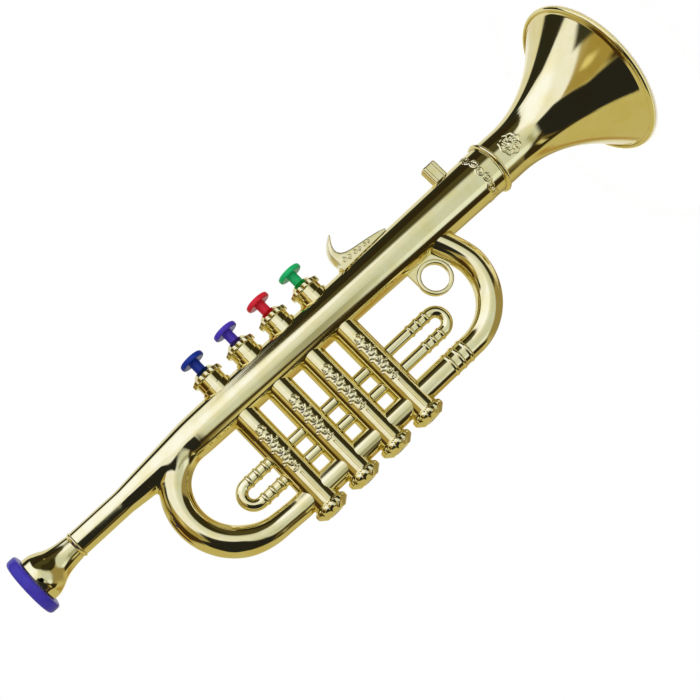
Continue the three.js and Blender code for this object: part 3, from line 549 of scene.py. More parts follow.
def swell(share):
    """Width of the wrap along its turn as a share between the leg and the tube: a smooth curve through the
    measured shares, SWELL_STEPS to the half turn, that starts level."""
    table = spline([(v, v) for v in SWELL_SHARES[1:2] + SWELL_SHARES], 12)[12:, 0]
    return np.interp(share, np.linspace(0, (len(SWELL_SHARES) - 1) / SWELL_STEPS, len(table)), table)


def bend_field(p):
    """Distance-like value of the left bend, below 0 inside: the smaller of the cone along the tube and the
    wrap that turns down, blended by k h^2 / 4 with h = max(1 - |a - b| / k, 0), where the reach k fades
    along the bend."""
    x, y, z = p[..., 0], p[..., 1], p[..., 2]
    in_line = np.hypot(y, z) - bend_radius(x)
    cone = np.maximum(in_line, SOCKET_X - 0.5 - x)
    wide = bend_radius(BEND_X)
    share = np.clip(np.arctan2(BEND_X - x, z + LEFT_BEND) / np.pi, 0, 1)
    open_arc = LEFT_BEND * (1 + LEFT_OPEN * share ** 8)
    off_arc = np.hypot(np.hypot(x - BEND_X, z + LEFT_BEND) - open_arc, y)
    arc = off_arc - mix(LEG_RADIUS, wide, swell(share))
    fall = 1 - np.clip((LEG_END - x) / (LEG_END - BEND_X), 0, 1) ** 1.2
    leg_z = mix(LEFT_BEND * (2 + LEFT_OPEN), WRAP_DEPTH, fall)
    past = 1 + np.maximum(x - BEND_X, 0) / (np.pi * LEFT_BEND)
    under = np.hypot(y, z + leg_z) - mix(LEG_RADIUS, wide, swell(past))
    wrap = np.where(x < BEND_X, arc, np.where(z > -LEFT_BEND, in_line, under))
    reach = 0.02 + BLEND_REACH * smooth(x, BLEND_END_X, BLEND_FULL_X)
    near = np.maximum(1 - np.abs(cone - wrap) / reach, 0)
    body = np.minimum(cone, wrap) - reach * near ** 2 / 4
    return np.maximum(body, np.where(z > -LEFT_BEND, x - TUBE_X - TUCK, x - VALVE_X[0] + LEG_GAP))


def field_slope(field, p, step=0.02):
    """Gradient of a field by differences: (f(p + step) - f(p - step)) / (2 step) on each axis."""
    shift = np.eye(3) * step
    return np.stack([field(p + shift[k]) - field(p - shift[k]) for k in range(3)], -1) / (2 * step)


def field_skin(field, low, high, step):
    """Points and quads on field = 0: one point for each lattice cell that the skin passes, one quad round
    each lattice edge that it crosses, then p - f g / |g|^2 moves the points onto it, six times."""
    axes = [np.arange(low[k], high[k] + step, step) for k in range(3)]
    inside = field(np.stack(np.meshgrid(*axes, indexing="ij"), -1)) < 0
    count = sum(inside[a:a - 1 or None, b:b - 1 or None, c:c - 1 or None].astype(int)
                for a in (0, 1) for b in (0, 1) for c in (0, 1))
    cells = (count > 0) & (count < 8)
    number = np.full(cells.shape, -1)
    number[cells] = np.arange(cells.sum())
    points = np.asarray(low) + (np.argwhere(cells) + 0.5) * step
    quads = []
    for axis in range(3):
        u, v = (axis + 1) % 3, (axis + 2) % 3
        low_side = np.take(inside, range(inside.shape[axis] - 1), axis)
        high_side = np.take(inside, range(1, inside.shape[axis]), axis)
        at = np.argwhere(low_side != high_side)
        at = at[(at[:, u] > 0) & (at[:, v] > 0)]
        du, dv = np.eye(3, dtype=int)[u], np.eye(3, dtype=int)[v]
        round_edge = ((0, 0), (1, 0), (1, 1), (0, 1))
        ring = np.stack([number[tuple((at - a * du - b * dv).T)] for a, b in round_edge], -1)
        flip = high_side[tuple(at.T)]
        ring[flip] = ring[flip][:, ::-1]
        quads.append(ring)
    for _ in range(6):
        slope = field_slope(field, points)
        points = points - field(points)[:, None] * slope / np.maximum((slope ** 2).sum(-1), 1e-6)[:, None]
    return points, np.concatenate(quads)


def left_bend():
    """The cast bend where the lead pipe and the wrap join the main tube, skinned from its field. Its
    normals are the field's slope, taken no further than the tube's start."""
    points, quads = field_skin(bend_field, BEND_LOW, BEND_HIGH, BEND_CELL)
    spots = points.copy()
    spots[:, 0] = np.where(points[:, 2] > -LEFT_BEND, np.minimum(points[:, 0], TUBE_X - 0.05), points[:, 0])
    slope = field_slope(bend_field, spots)
    facing = np.stack([slope[:, 2], slope[:, 1], -slope[:, 0]], -1)
    facing /= np.linalg.norm(facing, axis=1)[:, None]
    add_piece("left_bend", points, quads.tolist(), TUBE_GOLD, facing=facing)


def tube_scrolls():
    """Strokes of the chain of seven curls along the way round the tube, which face left and right by turns
    and are joined in an S by short arms."""
    strokes = []
    for k in range(-3, 4):
        a = TUBE_SCROLLS_PITCH * k
        way = 1 if k % 2 else -1
        arm = [(2.2 * way, a + 0.9), (1.2 * way, a + 2.4), (-1.2 * way, a + 2.9), (-2.3 * way, a + 4.2)]
        strokes += [curl(0.5 * way, a, 0.6 + 1.5 * way, 1.35 * way, 0.7, 2.1), spline(arm)]
    return strokes


def main_tube():
    """Turned tube with a straight taper, a relief of curls before the collar that the far side repeats, and
    square holes under the caps for the stems."""
    turn = turns(336)
    edges = np.add.outer(VALVE_X, (-STEM_HOLE, STEM_HOLE)).ravel()
    fine = np.arange(TUBE_SCROLLS_FROM, TUBE_SCROLLS_TO, RELIEF_STEP)
    outer = np.concatenate([[TUBE_X], edges, TUBE_ROWS_X, fine, [COLLAR_X]])
    inner = np.concatenate([[COLLAR_X], edges[::-1], [TUBE_X]])
    along = column(np.concatenate([outer, inner]))
    radius = tube_radius(along) - WALL * column(np.arange(len(along)) >= len(outer)) + 0 * turn
    side = (turn - np.pi / 2 + np.pi) % (2 * np.pi) - np.pi
    side = np.where(np.abs(side) > np.pi / 2, np.sign(side) * (np.pi - np.abs(side)), side)
    part = slice(len(outer) - 1 - len(fine), len(outer) - 1)
    radius[part] += strokes_height(along[part] - TUBE_SCROLLS_X, side * tube_radius(TUBE_SCROLLS_X),
                                   tube_scrolls(), TUBE_SCROLLS_WIDTH, TUBE_SCROLLS_HEIGHT)
    under_cap = (turn < STEM_HOLE_TURN) | (turn > 2 * np.pi - STEM_HOLE_TURN)
    middle = 0.5 * (along + np.roll(along, -1, 0))
    drop = (np.abs(middle - VALVE_X).min(1, keepdims=True) < STEM_HOLE) & under_cap
    make_piece("main_tube", about_tube(along, radius, turn), TUBE_GOLD, drop=drop)


def bands(x, centres, height):
    """Height of raised rings: the height times a soft-edged step of BAND_WIDTH about each centre."""
    away = np.abs(column(x) - np.asarray(centres)).min(1)
    return height * smooth(away, BAND_WIDTH / 2, BAND_WIDTH / 2 - BAND_EDGE)


def right_bend():
    """Pipe that drops from the tube, where it stands back by WRAP_LEAN (1 - s)^1.5, turns back through a
    quarter circle and runs to the last valve, with three bands as bumps."""
    cx, cz = WRAP_X - RIGHT_BEND, RIGHT_BEND - WRAP_DEPTH
    s = np.linspace(0, 1, 40)[:-1]
    drop = points_of(WRAP_X - WRAP_LEAN * (1 - s) ** 1.5, cz * s)
    a = np.linspace(np.pi / 2, np.pi, 84)
    arc = points_of(cx + RIGHT_BEND * np.sin(a), cz + RIGHT_BEND * np.cos(a))
    leg = points_of(np.arange(cx - PATH_STEP, VALVE_X[-1] + 3, -PATH_STEP), -WRAP_DEPTH)
    taper = mix(WRAP_TOP_RADIUS, LEG_RADIUS, np.linspace(0, 1, len(arc)))
    bumps = bands(leg[:, 0], [SLIDE_RIGHT_X - k * BAND_PITCH for k in range(3)], LEG_BAND)
    radius = np.concatenate([np.full(len(drop), WRAP_TOP_RADIUS), taper, LEG_RADIUS + bumps])
    path = np.concatenate([drop, arc, leg])
    make_piece("right_bend", pipe(path, radius, 64), TUBE_GOLD, loop=False, sharp=50)


def slide(node, case_x, centre_x):
    """Pipe of a small U slide: leg, half circle, leg, with three bands on each leg."""
    way = math.copysign(1, centre_x - case_x)
    half = (SLIDE_UPPER - SLIDE_LOWER) / 2
    leg = np.arange(case_x + way * (CASING_RADIUS - 1.2), centre_x, way * PATH_STEP)
    a = np.linspace(0, np.pi, 60)
    arc = points_of(centre_x + way * half * np.sin(a), SLIDE_UPPER - half + half * np.cos(a))
    path = np.concatenate([points_of(leg, SLIDE_UPPER), arc, points_of(leg[::-1], SLIDE_LOWER)])
    centres = [centre_x - way * (BAND_WIDTH + k * BAND_PITCH) for k in range(3)]
    radius = SLIDE_RADIUS + bands(path[:, 0], centres, SLIDE_BAND)
    make_piece(node, pipe(path, radius, 40), TUBE_GOLD, loop=False, sharp=50)


def cross_tube(node, x, z, radius, sides):
    """Straight tube from the valve at x to the next, whose ends follow the casings: x + sqrt(R^2 - y^2)."""
    turn = turns(sides)
    inset = np.sqrt((CASING_RADIUS - 0.4) ** 2 - (radius * np.sin(turn)) ** 2)
    along = mix(x + inset, x + VALVE_X[1] - VALVE_X[0] - inset, column([0, 0.05, 0.5, 0.95, 1]))
    grid = points_of(along, radius * np.sin(turn), z + radius * np.cos(turn))
    make_piece(node, grid, TUBE_GOLD, loop=False)


def collar_ring():
    """Turned ring: a low step with a half-round bead on it, height (1 - s^2)^0.5 over the bead's width."""
    s = np.linspace(-1, 1, 21)
    step, half = THROAT_RADIUS + COLLAR_STEP, COLLAR_WIDTH / 2
    crown = points_of(COLLAR_X + COLLAR_BEAD * s,
                      step + (THROAT_RADIUS + COLLAR_HEIGHT + FIT - step) * np.sqrt(1 - s ** 2))
    left = [(COLLAR_X - half, THROAT_RADIUS), (COLLAR_X - half, step - 0.1), (COLLAR_X - half + 0.1, step)]
    right = [(COLLAR_X + half - 0.1, step), (COLLAR_X + half, step - 0.1), (COLLAR_X + half, THROAT_RADIUS)]
    make_piece("collar_ring", turned_outline(np.concatenate([left, crown, right]), 160), TRIM_GOLD)


def rosette(across, along):
    """A plain rosette of fine raised lines: a scalloped edge, eight bent veins on sin(4 angle + bend), a
    scalloped circle and a round boss."""
    away, angle = np.hypot(across, along), np.arctan2(along, across)
    edge = ROSETTE_RADIUS + 0.35 * np.cos(8 * angle)
    rim = ridge(away - edge + 0.5, 0.5)
    vein = ridge(np.sin(4 * angle + 0.35 * away) * away / 2, 0.5)
    vein = vein * smooth(away, 1.6, 2.4) * smooth(away, edge - 0.3, edge - 1.2)
    circle = ridge(away - 3.3 - 0.5 * np.cos(8 * angle), 0.45)
    boss = np.clip(1 - (away / 1.3) ** 2, 0, 1)
    return ROSETTE_HEIGHT * np.maximum.reduce([rim, vein, circle, boss])


def flared(share, lift=0):
    """Outline of the bell at shares of its flare: radius = throat + (rim - throat) s^FLARE_POWER, and a
    lift."""
    radius = mix(THROAT_RADIUS, RIM_RADIUS, share ** FLARE_POWER)
    return points_of(FLARE_X + FLARE_LENGTH * share, radius + lift)


def bell():
    """Turned bell: a straight throat, the flare, a raised line sin(pi t)^0.7 high and a rolled rim, with
    the wall inside and a rosette on the near side."""
    throat = points_of(np.array([COLLAR_X, *np.arange(ROSETTE_FROM, FLARE_X, BELL_STEP)]), THROAT_RADIUS)
    fine = flared((np.arange(FLARE_X + 0.1, ROSETTE_TO, BELL_STEP) - FLARE_X) / FLARE_LENGTH)
    outside, inside = (1 - (1 - np.linspace(0, 1, count)) ** 1.25 for count in (56, 40))
    past_fine = outside > (ROSETTE_TO + BELL_STEP - FLARE_X) / FLARE_LENGTH
    flare = flared(outside[past_fine & (outside < LINE_SHARES[0])])
    t = np.linspace(0, 1, 9)
    raised = flared(np.linspace(*LINE_SHARES, 9), RIM_LINE * np.sin(np.pi * t) ** 0.7)
    a = np.radians(np.linspace(205, 0, 22))
    bead = points_of(RIM_X + RIM_BEAD * np.cos(a), RIM_RADIUS + RIM_BEAD * np.sin(a))
    front = RIM_X + RIM_BEAD
    lip = [(front, RIM_RADIUS - 1.2), (front - 0.25, RIM_RADIUS - 1.6), (front - 0.9, RIM_RADIUS - 1.9)]
    wall = flared(inside, -WALL - 0.4 * inside)[-3::-1]
    start = [(COLLAR_X, THROAT_RADIUS - WALL)]
    outline = np.concatenate([throat, fine, flare, raised, bead, lip, wall, start])
    turn = turns(320)
    along, radius = column(outline[:, 0]), column(outline[:, 1]) + 0 * turn
    part = slice(0, len(throat) + len(fine))
    radius[part] += rosette((turn - np.pi / 2) * THROAT_RADIUS, along[part] - ROSETTE_X)
    make_piece("bell", about_tube(along, radius, turn), BELL_GOLD)


def valve_scrolls():
    """Strokes of the relief down a casing, in millimetres across and along: a crown, three curls with a
    tendril each, leaves between them, and a tail."""
    strokes = [spline([(-2.0, -20.6), (-1.7, -19.0), (0, -18.2), (1.7, -19.0), (2.0, -20.6)]),
               spline([(0, -18.4), (0.5, -20.2), (-0.3, -21.8)]),
               curl(-1.6, -21.3, 1.0, 0.8, 0.4, 0.9), curl(1.7, -21.0, 2.0, -0.8, 0.4, 0.9)]
    for b in (-25.2, -33.5, -41.5):
        strokes += [curl(0.1, b, 3.6, 1.35, 0.5, 2.1),
                    spline([(-1.8, b + 1.0), (-2.9, b + 2.1), (-3.9, b + 1.6), (-3.6, b + 0.6)])]
    for b in (-25.2, -33.5):
        stem = [(2.1, b - 0.4), (1.0, b - 2.4), (-1.4, b - 3.6), (-1.7, b - 5.0), (0.2, b - 5.7)]
        strokes += [spline(stem, 9),
                    spline([(-1.9, b - 2.2), (0.2, b - 3.4), (1.9, b - 4.6), (1.5, b - 5.8)]),
                    spline([(1.9, b - 2.6), (3.1, b - 3.4), (3.7, b - 2.5)], 7)]
    return strokes + [spline([(0, -44.0), (0.3, -45.2), (-0.3, -46.4)]),
                      curl(1.3, -45.0, 1.0, 0.8, 0.3, 0.8), curl(-1.4, -45.4, 2.0, -0.8, 0.3, 0.8)]


SCROLLS = valve_scrolls()


def valve_casing(k):
    """Turned casing whose top follows the tube, with the scroll relief and a straight groove on its near
    and far sides."""
    x, inner = VALVE_X[k], CASING_RADIUS - CASING_WALL
    turn = turns(232)
    fine = np.arange(CASING_SCROLLS_FROM, CASING_SCROLLS_TO, -RELIEF_STEP)
    middle = (GROOVE_HIGH + GROOVE_LOW) / 2
    height = column([CASING_SCROLLS_FROM + 1.1, *fine, GROOVE_HIGH, middle, GROOVE_LOW,
                     CASING_END + 0.6, CASING_END + 0.35, CASING_END])
    side = (turn + np.pi / 2) % np.pi - np.pi / 2
    across = side * CASING_RADIUS * np.where((turn > np.pi / 2) & (turn < 3 * np.pi / 2), -1, 1)
    relief = strokes_height(across, height, SCROLLS, CASING_SCROLLS_WIDTH, CASING_SCROLLS_HEIGHT)
    groove = smooth(np.abs(across), GROOVE_OUT, GROOVE_IN) * smooth(height, GROOVE_HIGH, GROOVE_LOW)
    groove = groove * smooth(height, CASING_END + 0.3, CASING_END + 0.6)
    saddle = -tube_top(x, CASING_RADIUS * np.cos(turn))
    saddle_in = -tube_top(x, inner * np.cos(turn))
    level = 0 * turn
    along = np.concatenate([saddle + 0.8, saddle - 0.2, height + level, CASING_END + level, saddle_in + 0.8])
    skin = CASING_RADIUS + relief - GROOVE_DEPTH * groove
    plain, bore = CASING_RADIUS + level, inner + level
    radius = np.concatenate([plain, plain, skin, bore, bore])
    make_piece(f"valve_casing_{k + 1}", about_valve(x, along, radius, turn), VALVE_GOLD)


def bottom_cap(k):
    """Turned cap: a short skirt, a rim of round beads, a cone to the face, and a dish with a low boss.
    Between the beads, with b = 1 - |cos(6 turn)|, the rim's radius dips by 0.4 b and its two faces by 0.15
    b."""
    turn = turns(240)
    dish, boss, top = FACE_Z + DISH_DEPTH, FACE_Z + BOSS_DEPTH, CASING_END + 0.3
    outline = rounded([(CASING_RADIUS, top, 0.05), (CASING_RADIUS + 0.1, CASING_END - 0.2, 0.1),
                       (RIM_FLANGE, FLANGE_HIGH, 0.95), (RIM_FLANGE, FLANGE_LOW, 0.95),
                       (CAP_FACE, FACE_Z, 0.4), (DISH_RADIUS, FACE_Z, 0.3), (DISH_RADIUS - 0.6, dish, 0.2),
                       (BOSS_RADIUS + 0.4, dish, 0.2), (BOSS_RADIUS, boss, 0.2),
                       (POLE, boss, 0.005), (POLE, top, 0.005)], 6)
    along, radius = column(outline[:, 1]), column(outline[:, 0])
    on_rim = smooth(radius, RIM_FLANGE - 1.2, RIM_FLANGE - 0.4)
    beads = 1 - np.abs(np.cos(LOBES / 2 * turn))
    along = along + on_rim * 0.15 * beads * np.sign((FLANGE_HIGH + FLANGE_LOW) / 2 - along)
    radius = radius - on_rim * 0.4 * beads
    make_piece(f"bottom_cap_{k + 1}", about_valve(VALVE_X[k], along, radius, turn), VALVE_GOLD)


def top_cap(k):
    """Turned cap on the tube's back: foot, body, a flange of round lobes, cone and a hollow with the stem
    hole. The flange dips by 0.75 (1 - |cos(6 turn)|^0.8) between its lobes, and the foot follows the
    tube."""
    x = VALVE_X[k]
    turn = turns(240)
    foot = float(tube_radius(x)) + FOOT_HEIGHT
    hole, ceiling = STEM_RADIUS + FIT, CAP_TOP - CAP_WALL
    outline = rounded([(FOOT_RADIUS, FOOT_LOW, 0.1), (FOOT_RADIUS, foot, 0.3), (CAP_RADIUS, foot, 0.25),
                       (CAP_RADIUS, LOBE_START, 0.15), (LOBE_RADIUS, LOBE_START, 1.0),
                       (LOBE_RADIUS, LOBE_END, 1.0), (CAP_RADIUS, LOBE_END, 0.2),
                       (CAP_CONE, CAP_TOP, 0.5), (hole, CAP_TOP, 0.25),
                       (hole, ceiling, 0.05), (CAP_BORE, ceiling, 0.05), (CAP_BORE, FOOT_LOW, 0.05)], 6)
    along, radius = column(outline[:, 1]), column(outline[:, 0])
    on_lobe = smooth(radius, CAP_RADIUS + 0.1, LOBE_RADIUS - 0.5)
    on_lobe = on_lobe * smooth(along, LOBE_START - 0.4, LOBE_START + 0.1)
    radius = radius - on_lobe * 0.75 * (1 - np.abs(np.cos(LOBES / 2 * turn)) ** 0.8)
    saddle = tube_top(x, radius * np.cos(turn)) - 0.5
    along = np.where(along < FOOT_LOW + 0.6, saddle + (along - FOOT_LOW), along)
    make_piece(f"top_cap_{k + 1}", about_valve(x, along, radius, turn), VALVE_GOLD)


def key(k):
    """Turned key: pin, stem, the collar that rests under the cap, and a mushroom button with a round edge
    and a low dome."""
    outline = rounded([(POLE, PIN_END, 0.005), (PIN_RADIUS, PIN_END, 0.2), (PIN_RADIUS, STEM_END, 0.1),
                       (STEM_RADIUS, STEM_END, 0.2), (STEM_RADIUS, STEM_COLLAR_LOW, 0.1),
                       (STEM_COLLAR, STEM_COLLAR_LOW, 0.2), (STEM_COLLAR, STEM_COLLAR_HIGH, 0.2),
                       (STEM_RADIUS, STEM_COLLAR_HIGH, 0.1), (STEM_RADIUS, KEY_UNDER, 0.5),
                       (KEY_RADIUS, KEY_UNDER, 1.3), (KEY_RADIUS, KEY_EDGE, 1.35),
                       (POLE, KEY_TOP, 0.005)], 8)
    name = KEY_NAMES[k]
    grid = about_valve(VALVE_X[k], column(outline[:, 1]), column(outline[:, 0]), turns(96))
    make_piece(f"{name}_key", grid, KEY_FINISHES[name], f"{name}_plastic", body=f"{name}_valve")


def spring(k):
    """Wire on a helix with closed ends: x, y = r cos, r sin of the turn, z even with the turn."""
    x, name = VALVE_X[k], KEY_NAMES[k]
    low = float(tube_radius(x)) + FIT + SPRING_WIRE
    high = STEM_COLLAR_LOW - FIT - SPRING_WIRE
    a = column(np.linspace(0, 2 * np.pi * SPRING_CURLS, 40 * SPRING_CURLS))
    turn = turns(12)
    out = SPRING_RADIUS + SPRING_WIRE * np.cos(turn)
    climb = mix(low, high, a / a[-1])
    grid = points_of(x + out * np.cos(a), out * np.sin(a), climb + SPRING_WIRE * np.sin(turn))
    piece = make_piece(f"spring_{k + 1}", grid, SPRING_STEEL, "spring_steel", loop=False, sharp=60)
    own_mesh(piece)


def inward(outline, back=1):
    """Unit normals into a closed outline at its points, or with back = 0 on the edge after each point. They
    face left or right of the way round by the sign of the area."""
    ahead = np.roll(outline, -1, 0) - np.roll(outline, back, 0)
    ahead /= np.linalg.norm(ahead, axis=1)[:, None]
    area = np.sum(outline[:, 0] * np.roll(outline[:, 1], -1) - np.roll(outline[:, 0], -1) * outline[:, 1])
    return np.stack([-ahead[:, 1], ahead[:, 0]], -1) * np.sign(area)


def plate_grid(outline, width, edge):
    """A flat plate across y from a closed outline of (x, z): its rims turn from the side to the face by
    edge (1 - sin) inwards and edge cos outwards."""
    a = np.linspace(0, np.pi / 2, 5)
    shift = edge * (1 - np.sin(a))
    depth = width / 2 - edge + edge * np.cos(a)
    shift, depth = np.concatenate([shift, shift[::-1]]), np.concatenate([-depth, depth[::-1]])
    spots = outline[None] + shift[:, None, None] * inward(outline)[None]
    return points_of(spots[..., 0], depth[:, None], spots[..., 1])


def finger_hook():
    """A plate cut to a smooth horn on a long foot, with rounded rims, and a border and a row of curls on
    both faces as wires half sunk in them."""
    corner = np.array([HOOK_X, float(tube_radius(HOOK_X)) - FIT])
    size = np.array([HOOK_LENGTH, HOOK_HEIGHT])
    foot = points_of(HOOK_X + HOOK_LENGTH * np.array([0.02, 0.3, 0.6, 0.98]), corner[1] - HOOK_FOOT)
    outline = np.concatenate([spline(corner + size * HORN_SHARES, 7), foot])
    border = (outline + BORDER_INSET * inward(outline))[6:-10]
    row = [curl(*(corner + size * (s, h)), turn, 1.2, 0.25, widest) for s, h, turn, widest in HOOK_CURLS]
    face = HOOK_WIDTH / 2 - 0.05
    grids = [(plate_grid(outline, HOOK_WIDTH, HOOK_EDGE), False)]
    for paths, wire in (([border], BORDER_WIRE), (row, CURL_WIRE)):
        for side in (-face, face):
            grids += [(pipe(path, wire, 8) + (0, side, 0), False) for path in paths]
    make_joined("finger_hook", grids, 50)


def finger_ring():
    """A rounded ring about y and its web in one mesh. The web is a plate that runs from the tube and the
    right bend to the middle of the ring's wall."""
    turn = turns(96)
    half = RING_THICKNESS / 2
    corners = ((RING_HOLE, -half), (RING_RADIUS, -half), (RING_RADIUS, half), (RING_HOLE, half))
    section = rounded([(radius, y, RING_ROUND) for radius, y in corners], 9)
    radius, depth = column(section[:, 0]), column(section[:, 1])
    ring = points_of(RING_X + radius * np.sin(turn), depth, -RING_DEPTH + radius * np.cos(turn))
    middle = (RING_HOLE + RING_RADIUS) / 2
    a = np.linspace(*np.radians(WEB_ARC), 60)
    inner = points_of(RING_X + middle * np.sin(a), -RING_DEPTH + middle * np.cos(a))
    left, top = RING_X - RING_RADIUS + 0.3, -float(tube_radius(RING_X)) + 1.0
    edge = np.array([(left, -RING_DEPTH), (left, top), (WRAP_X - 4, top), (WRAP_X - 2.5, -17.0),
                     (WRAP_X - 2, mix(0, -RING_DEPTH, 0.93))])
    way = np.concatenate([[0], np.cumsum(np.hypot(*np.diff(edge, axis=0).T))])
    spots = np.linspace(0, 1, 60) * way[-1]
    outer = points_of(*(np.interp(spots, way, edge[:, k]) for k in (0, 1)))
    side = WEB_THICKNESS / 2
    band = ((inner, -side), (outer, -side), (outer, side), (inner, side))
    web = np.stack([points_of(line[:, 0], y, line[:, 1]) for line, y in band], 1)
    make_joined("finger_ring", [(ring, True), (web, False)], 34)


def lyre_post():
    """An upright block with rounded edges and two ridges on each broad side, whose foot follows the tube."""
    half_x, half_y = POST_LENGTH / 2, POST_THICKNESS / 2
    raised = half_y + RIDGE_HEIGHT
    start, end = half_x - RIDGE_START, half_x - RIDGE_END
    far = [(half_x, half_y - 0.3, 0.5), (start, half_y, 0.3), (start, raised, 0.3),
           (end, raised, 0.3), (end, half_y, 0.25)]
    far += [(-x, y, r) for x, y, r in far[::-1]]
    plan = rounded(far + [(-x, -y, r) for x, y, r in far], 4)
    foot = tube_top(POST_X, plan[:, 1]) - 1.0
    rows = ((0, foot), (0, POST_TOP - 1.0), (0, POST_TOP - 0.8), (0.1, POST_TOP - 0.4),
            (0.35, POST_TOP - 0.12), (0.8, POST_TOP))
    grid = np.stack([points_of(POST_X + half_x + plan[:, 0] * (1 - inset / half_x),
                               plan[:, 1] * (1 - inset / half_y), z) for inset, z in rows])
    make_piece("lyre_post", grid, TRIM_GOLD, loop=False, sharp=40)


def carried_over():
    """The pieces inside the tube keep their solids and get their finishes."""
    finishes = {"reed_block": REED_GREY}
    for k in range(1, 5):
        finishes[f"piston_{k}"] = PISTON_GREY
        finishes[f"reed_plate_{k}"] = REED_BRASS
    for node, finish in finishes.items():
        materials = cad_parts[node].data.materials
        materials.clear()
        materials.append(finish)


lip_ring()
mouthpiece()
lead_pipe()
left_bend()
main_tube()
right_bend()
slide("left_slide", VALVE_X[0], SLIDE_LEFT_X)
slide("right_slide", VALVE_X[-1], SLIDE_RIGHT_X)
for number in (1, 2, 3):
    cross_tube(f"lower_tube_{number}", VALVE_X[number - 1], -WRAP_DEPTH, LOWER_RADIUS, 96)
    cross_tube(f"upper_link_{number}", VALVE_X[number - 1], SLIDE_UPPER, SLIDE_RADIUS, 64)
    cross_tube(f"lower_link_{number}", VALVE_X[number - 1], SLIDE_LOWER, SLIDE_RADIUS, 64)
collar_ring()
bell()
for valve in range(4):
    valve_casing(valve)
    bottom_cap(valve)
    top_cap(valve)
    key(valve)
    spring(valve)
finger_hook()
finger_ring()
lyre_post()
carried_over()


# The studio: the directions are the photograph's right, up and back, fixed in the row frame
RIGHT = (-0.6962, -0.0602, -0.7154)
UP = (0.7033, -0.2572, -0.6628)
BACK = (-0.1441, -0.9645, 0.2214)
CAMERA_PLACE, LENS, SENSOR_WIDTH = (-0.09153, -0.57029, 0.32968), 61.23, 36.0
WALLS, PAINT_LIGHT, WHITE = (0.46, 0.39, 0.22, 1), (1.0, 0.995, 0.98), (1, 1, 1, 1)

# Its panels from far to near: softness, colour and convex corners as bearing and height in degrees
PANELS = (
    (8, (0.58, 0.52, 0.28), ((-190, -95), (190, -95), (190, -17), (-190, -17))),
    (8, (0.80, 0.80, 0.82), ((-190, -14), (-100, -14), (-100, 64), (-190, 64))),
    (14, (0.34, 0.28, 0.14), ((50, -18), (160, -18), (160, 46), (50, 46))),
    (6, (0.44, 0.30, 0.10), ((104, -41), (165, -32), (165, -22), (104, -33))),
    (8, (0.075, 0.065, 0.03), ((-165, 50), (110, 44), (110, 100), (-165, 100))),
    (6, (0.03, 0.022, 0.012), ((-152, 56), (-48, 56), (-48, 100), (-152, 100))),
    (5, (0.035, 0.03, 0.014), ((20, 42), (50, 30), (101, 34), (101, 66), (10, 66))),
    (4, (0.72, 0.46, 0.14), ((101, 30), (112, 30), (112, 64), (101, 64))),
    (4, (0.07, 0.032, 0.01), ((112, 20), (136, 14), (136, 60), (112, 64))),
    (6, (0.40, 0.28, 0.09), ((138, 0), (164, 0), (164, 50), (138, 50))),
    (4, (0.026, 0.026, 0.02), ((-113, 6), (-80, 6), (-80, 62), (-150, 62))),
    (5, (0.035, 0.024, 0.010), ((30, -14), (34, -62), (62, -50), (92, -34), (96, -22), (66, -14))),
    (5, (0.16, 0.12, 0.05), ((28, -22), (28, -40), (44, -52), (58, -40), (58, -22))),
    (3, (0.62, 0.58, 0.36), ((52, -27), (66, -37), (70, -33), (56, -23))),
    (8, (0.68, 0.75, 0.93),
     ((-20, 50), (-20, 2), (36, -14), (70, -15), (66, 0), (54, 24), (34, 40), (10, 50))),
    (5, (0.90, 1.00, 1.35), ((44, -6), (52, -16), (62, -18), (68, -12), (56, 2))),
    (4, (0.40, 0.42, 0.40), ((22, 6), (42, -16), (46, -12), (28, 8))),
    (14, (0.84, 0.89, 1.14), ((-20, -2), (6, -2), (18, 14), (12, 42), (-20, 44))),
    (3, (0.98, 1.03, 1.46),
     ((-88, 8), (-75, 6), (-50, -3), (-2, -3), (2, 20), (0, 46), (-50, 53.5), (-92, 55.5))),
    (3, (0.98, 1.03, 1.46), ((-92, 34), (-60, 34), (-60, 55), (-108, 52))),
    (8, (1.12, 1.21, 1.95), ((-84, 24), (-4, 22), (-6, 44), (-50, 51), (-86, 52))),
    (6, (0.06, 0.032, 0.01), ((-84, -14), (-84, -50), (-40, -48), (-28, -28), (-48, -8))),
    (3, (0.60, 0.38, 0.12), ((-96, -26), (-96, -52), (-86, -52), (-86, -26))),
    (4, (0.10, 0.05, 0.015), ((-124, -26), (-124, -50), (-97, -50), (-97, -26))),
    (4, (0.40, 0.31, 0.11), ((-58, -3), (-56, -14), (-38, -26), (-20, -24), (-16, -3))),
    (4, (0.85, 0.78, 0.50), ((-42, -6), (-40, -14), (-33, -13), (-34, -6))),
    (3, (0.04, 0.042, 0.03), ((-75, 2), (-60, -8), (-54, -6), (-57, 8), (-72, 8))),
    (4, (0.02, 0.02, 0.022), ((-12, 3), (-20, -34), (50, -37), (38, -20), (6, 12))),
    (4, (0.02, 0.02, 0.022),
     ((-20, -24), (-36, -34), (-36, -50), (-14, -68), (4, -70), (34, -60), (56, -44), (44, -22))),
)

# The part of the white background that gold and plastic show too: what the camera sees behind the trumpet
BACKDROP = ((164, -24), (200, -24), (200, 24), (164, 24))


def edge_group():
    """One straight, soft edge of a panel: the mask times 0.5 + place . line, with that sum held from 0 to
    1."""
    tree, start, end = new_group("panel edge", {"Mask": 1.0, "Place": None, "Line": None}, ("Mask",))
    over = measure(tree, "DOT_PRODUCT", _0=start["Place"], _1=start["Line"])
    share = calculate(tree, "ADD", over, 0.5, clamp=True)
    tree.links.new(calculate(tree, "MULTIPLY", share, start["Mask"]), end["Mask"])
    return tree


EDGE = edge_group()


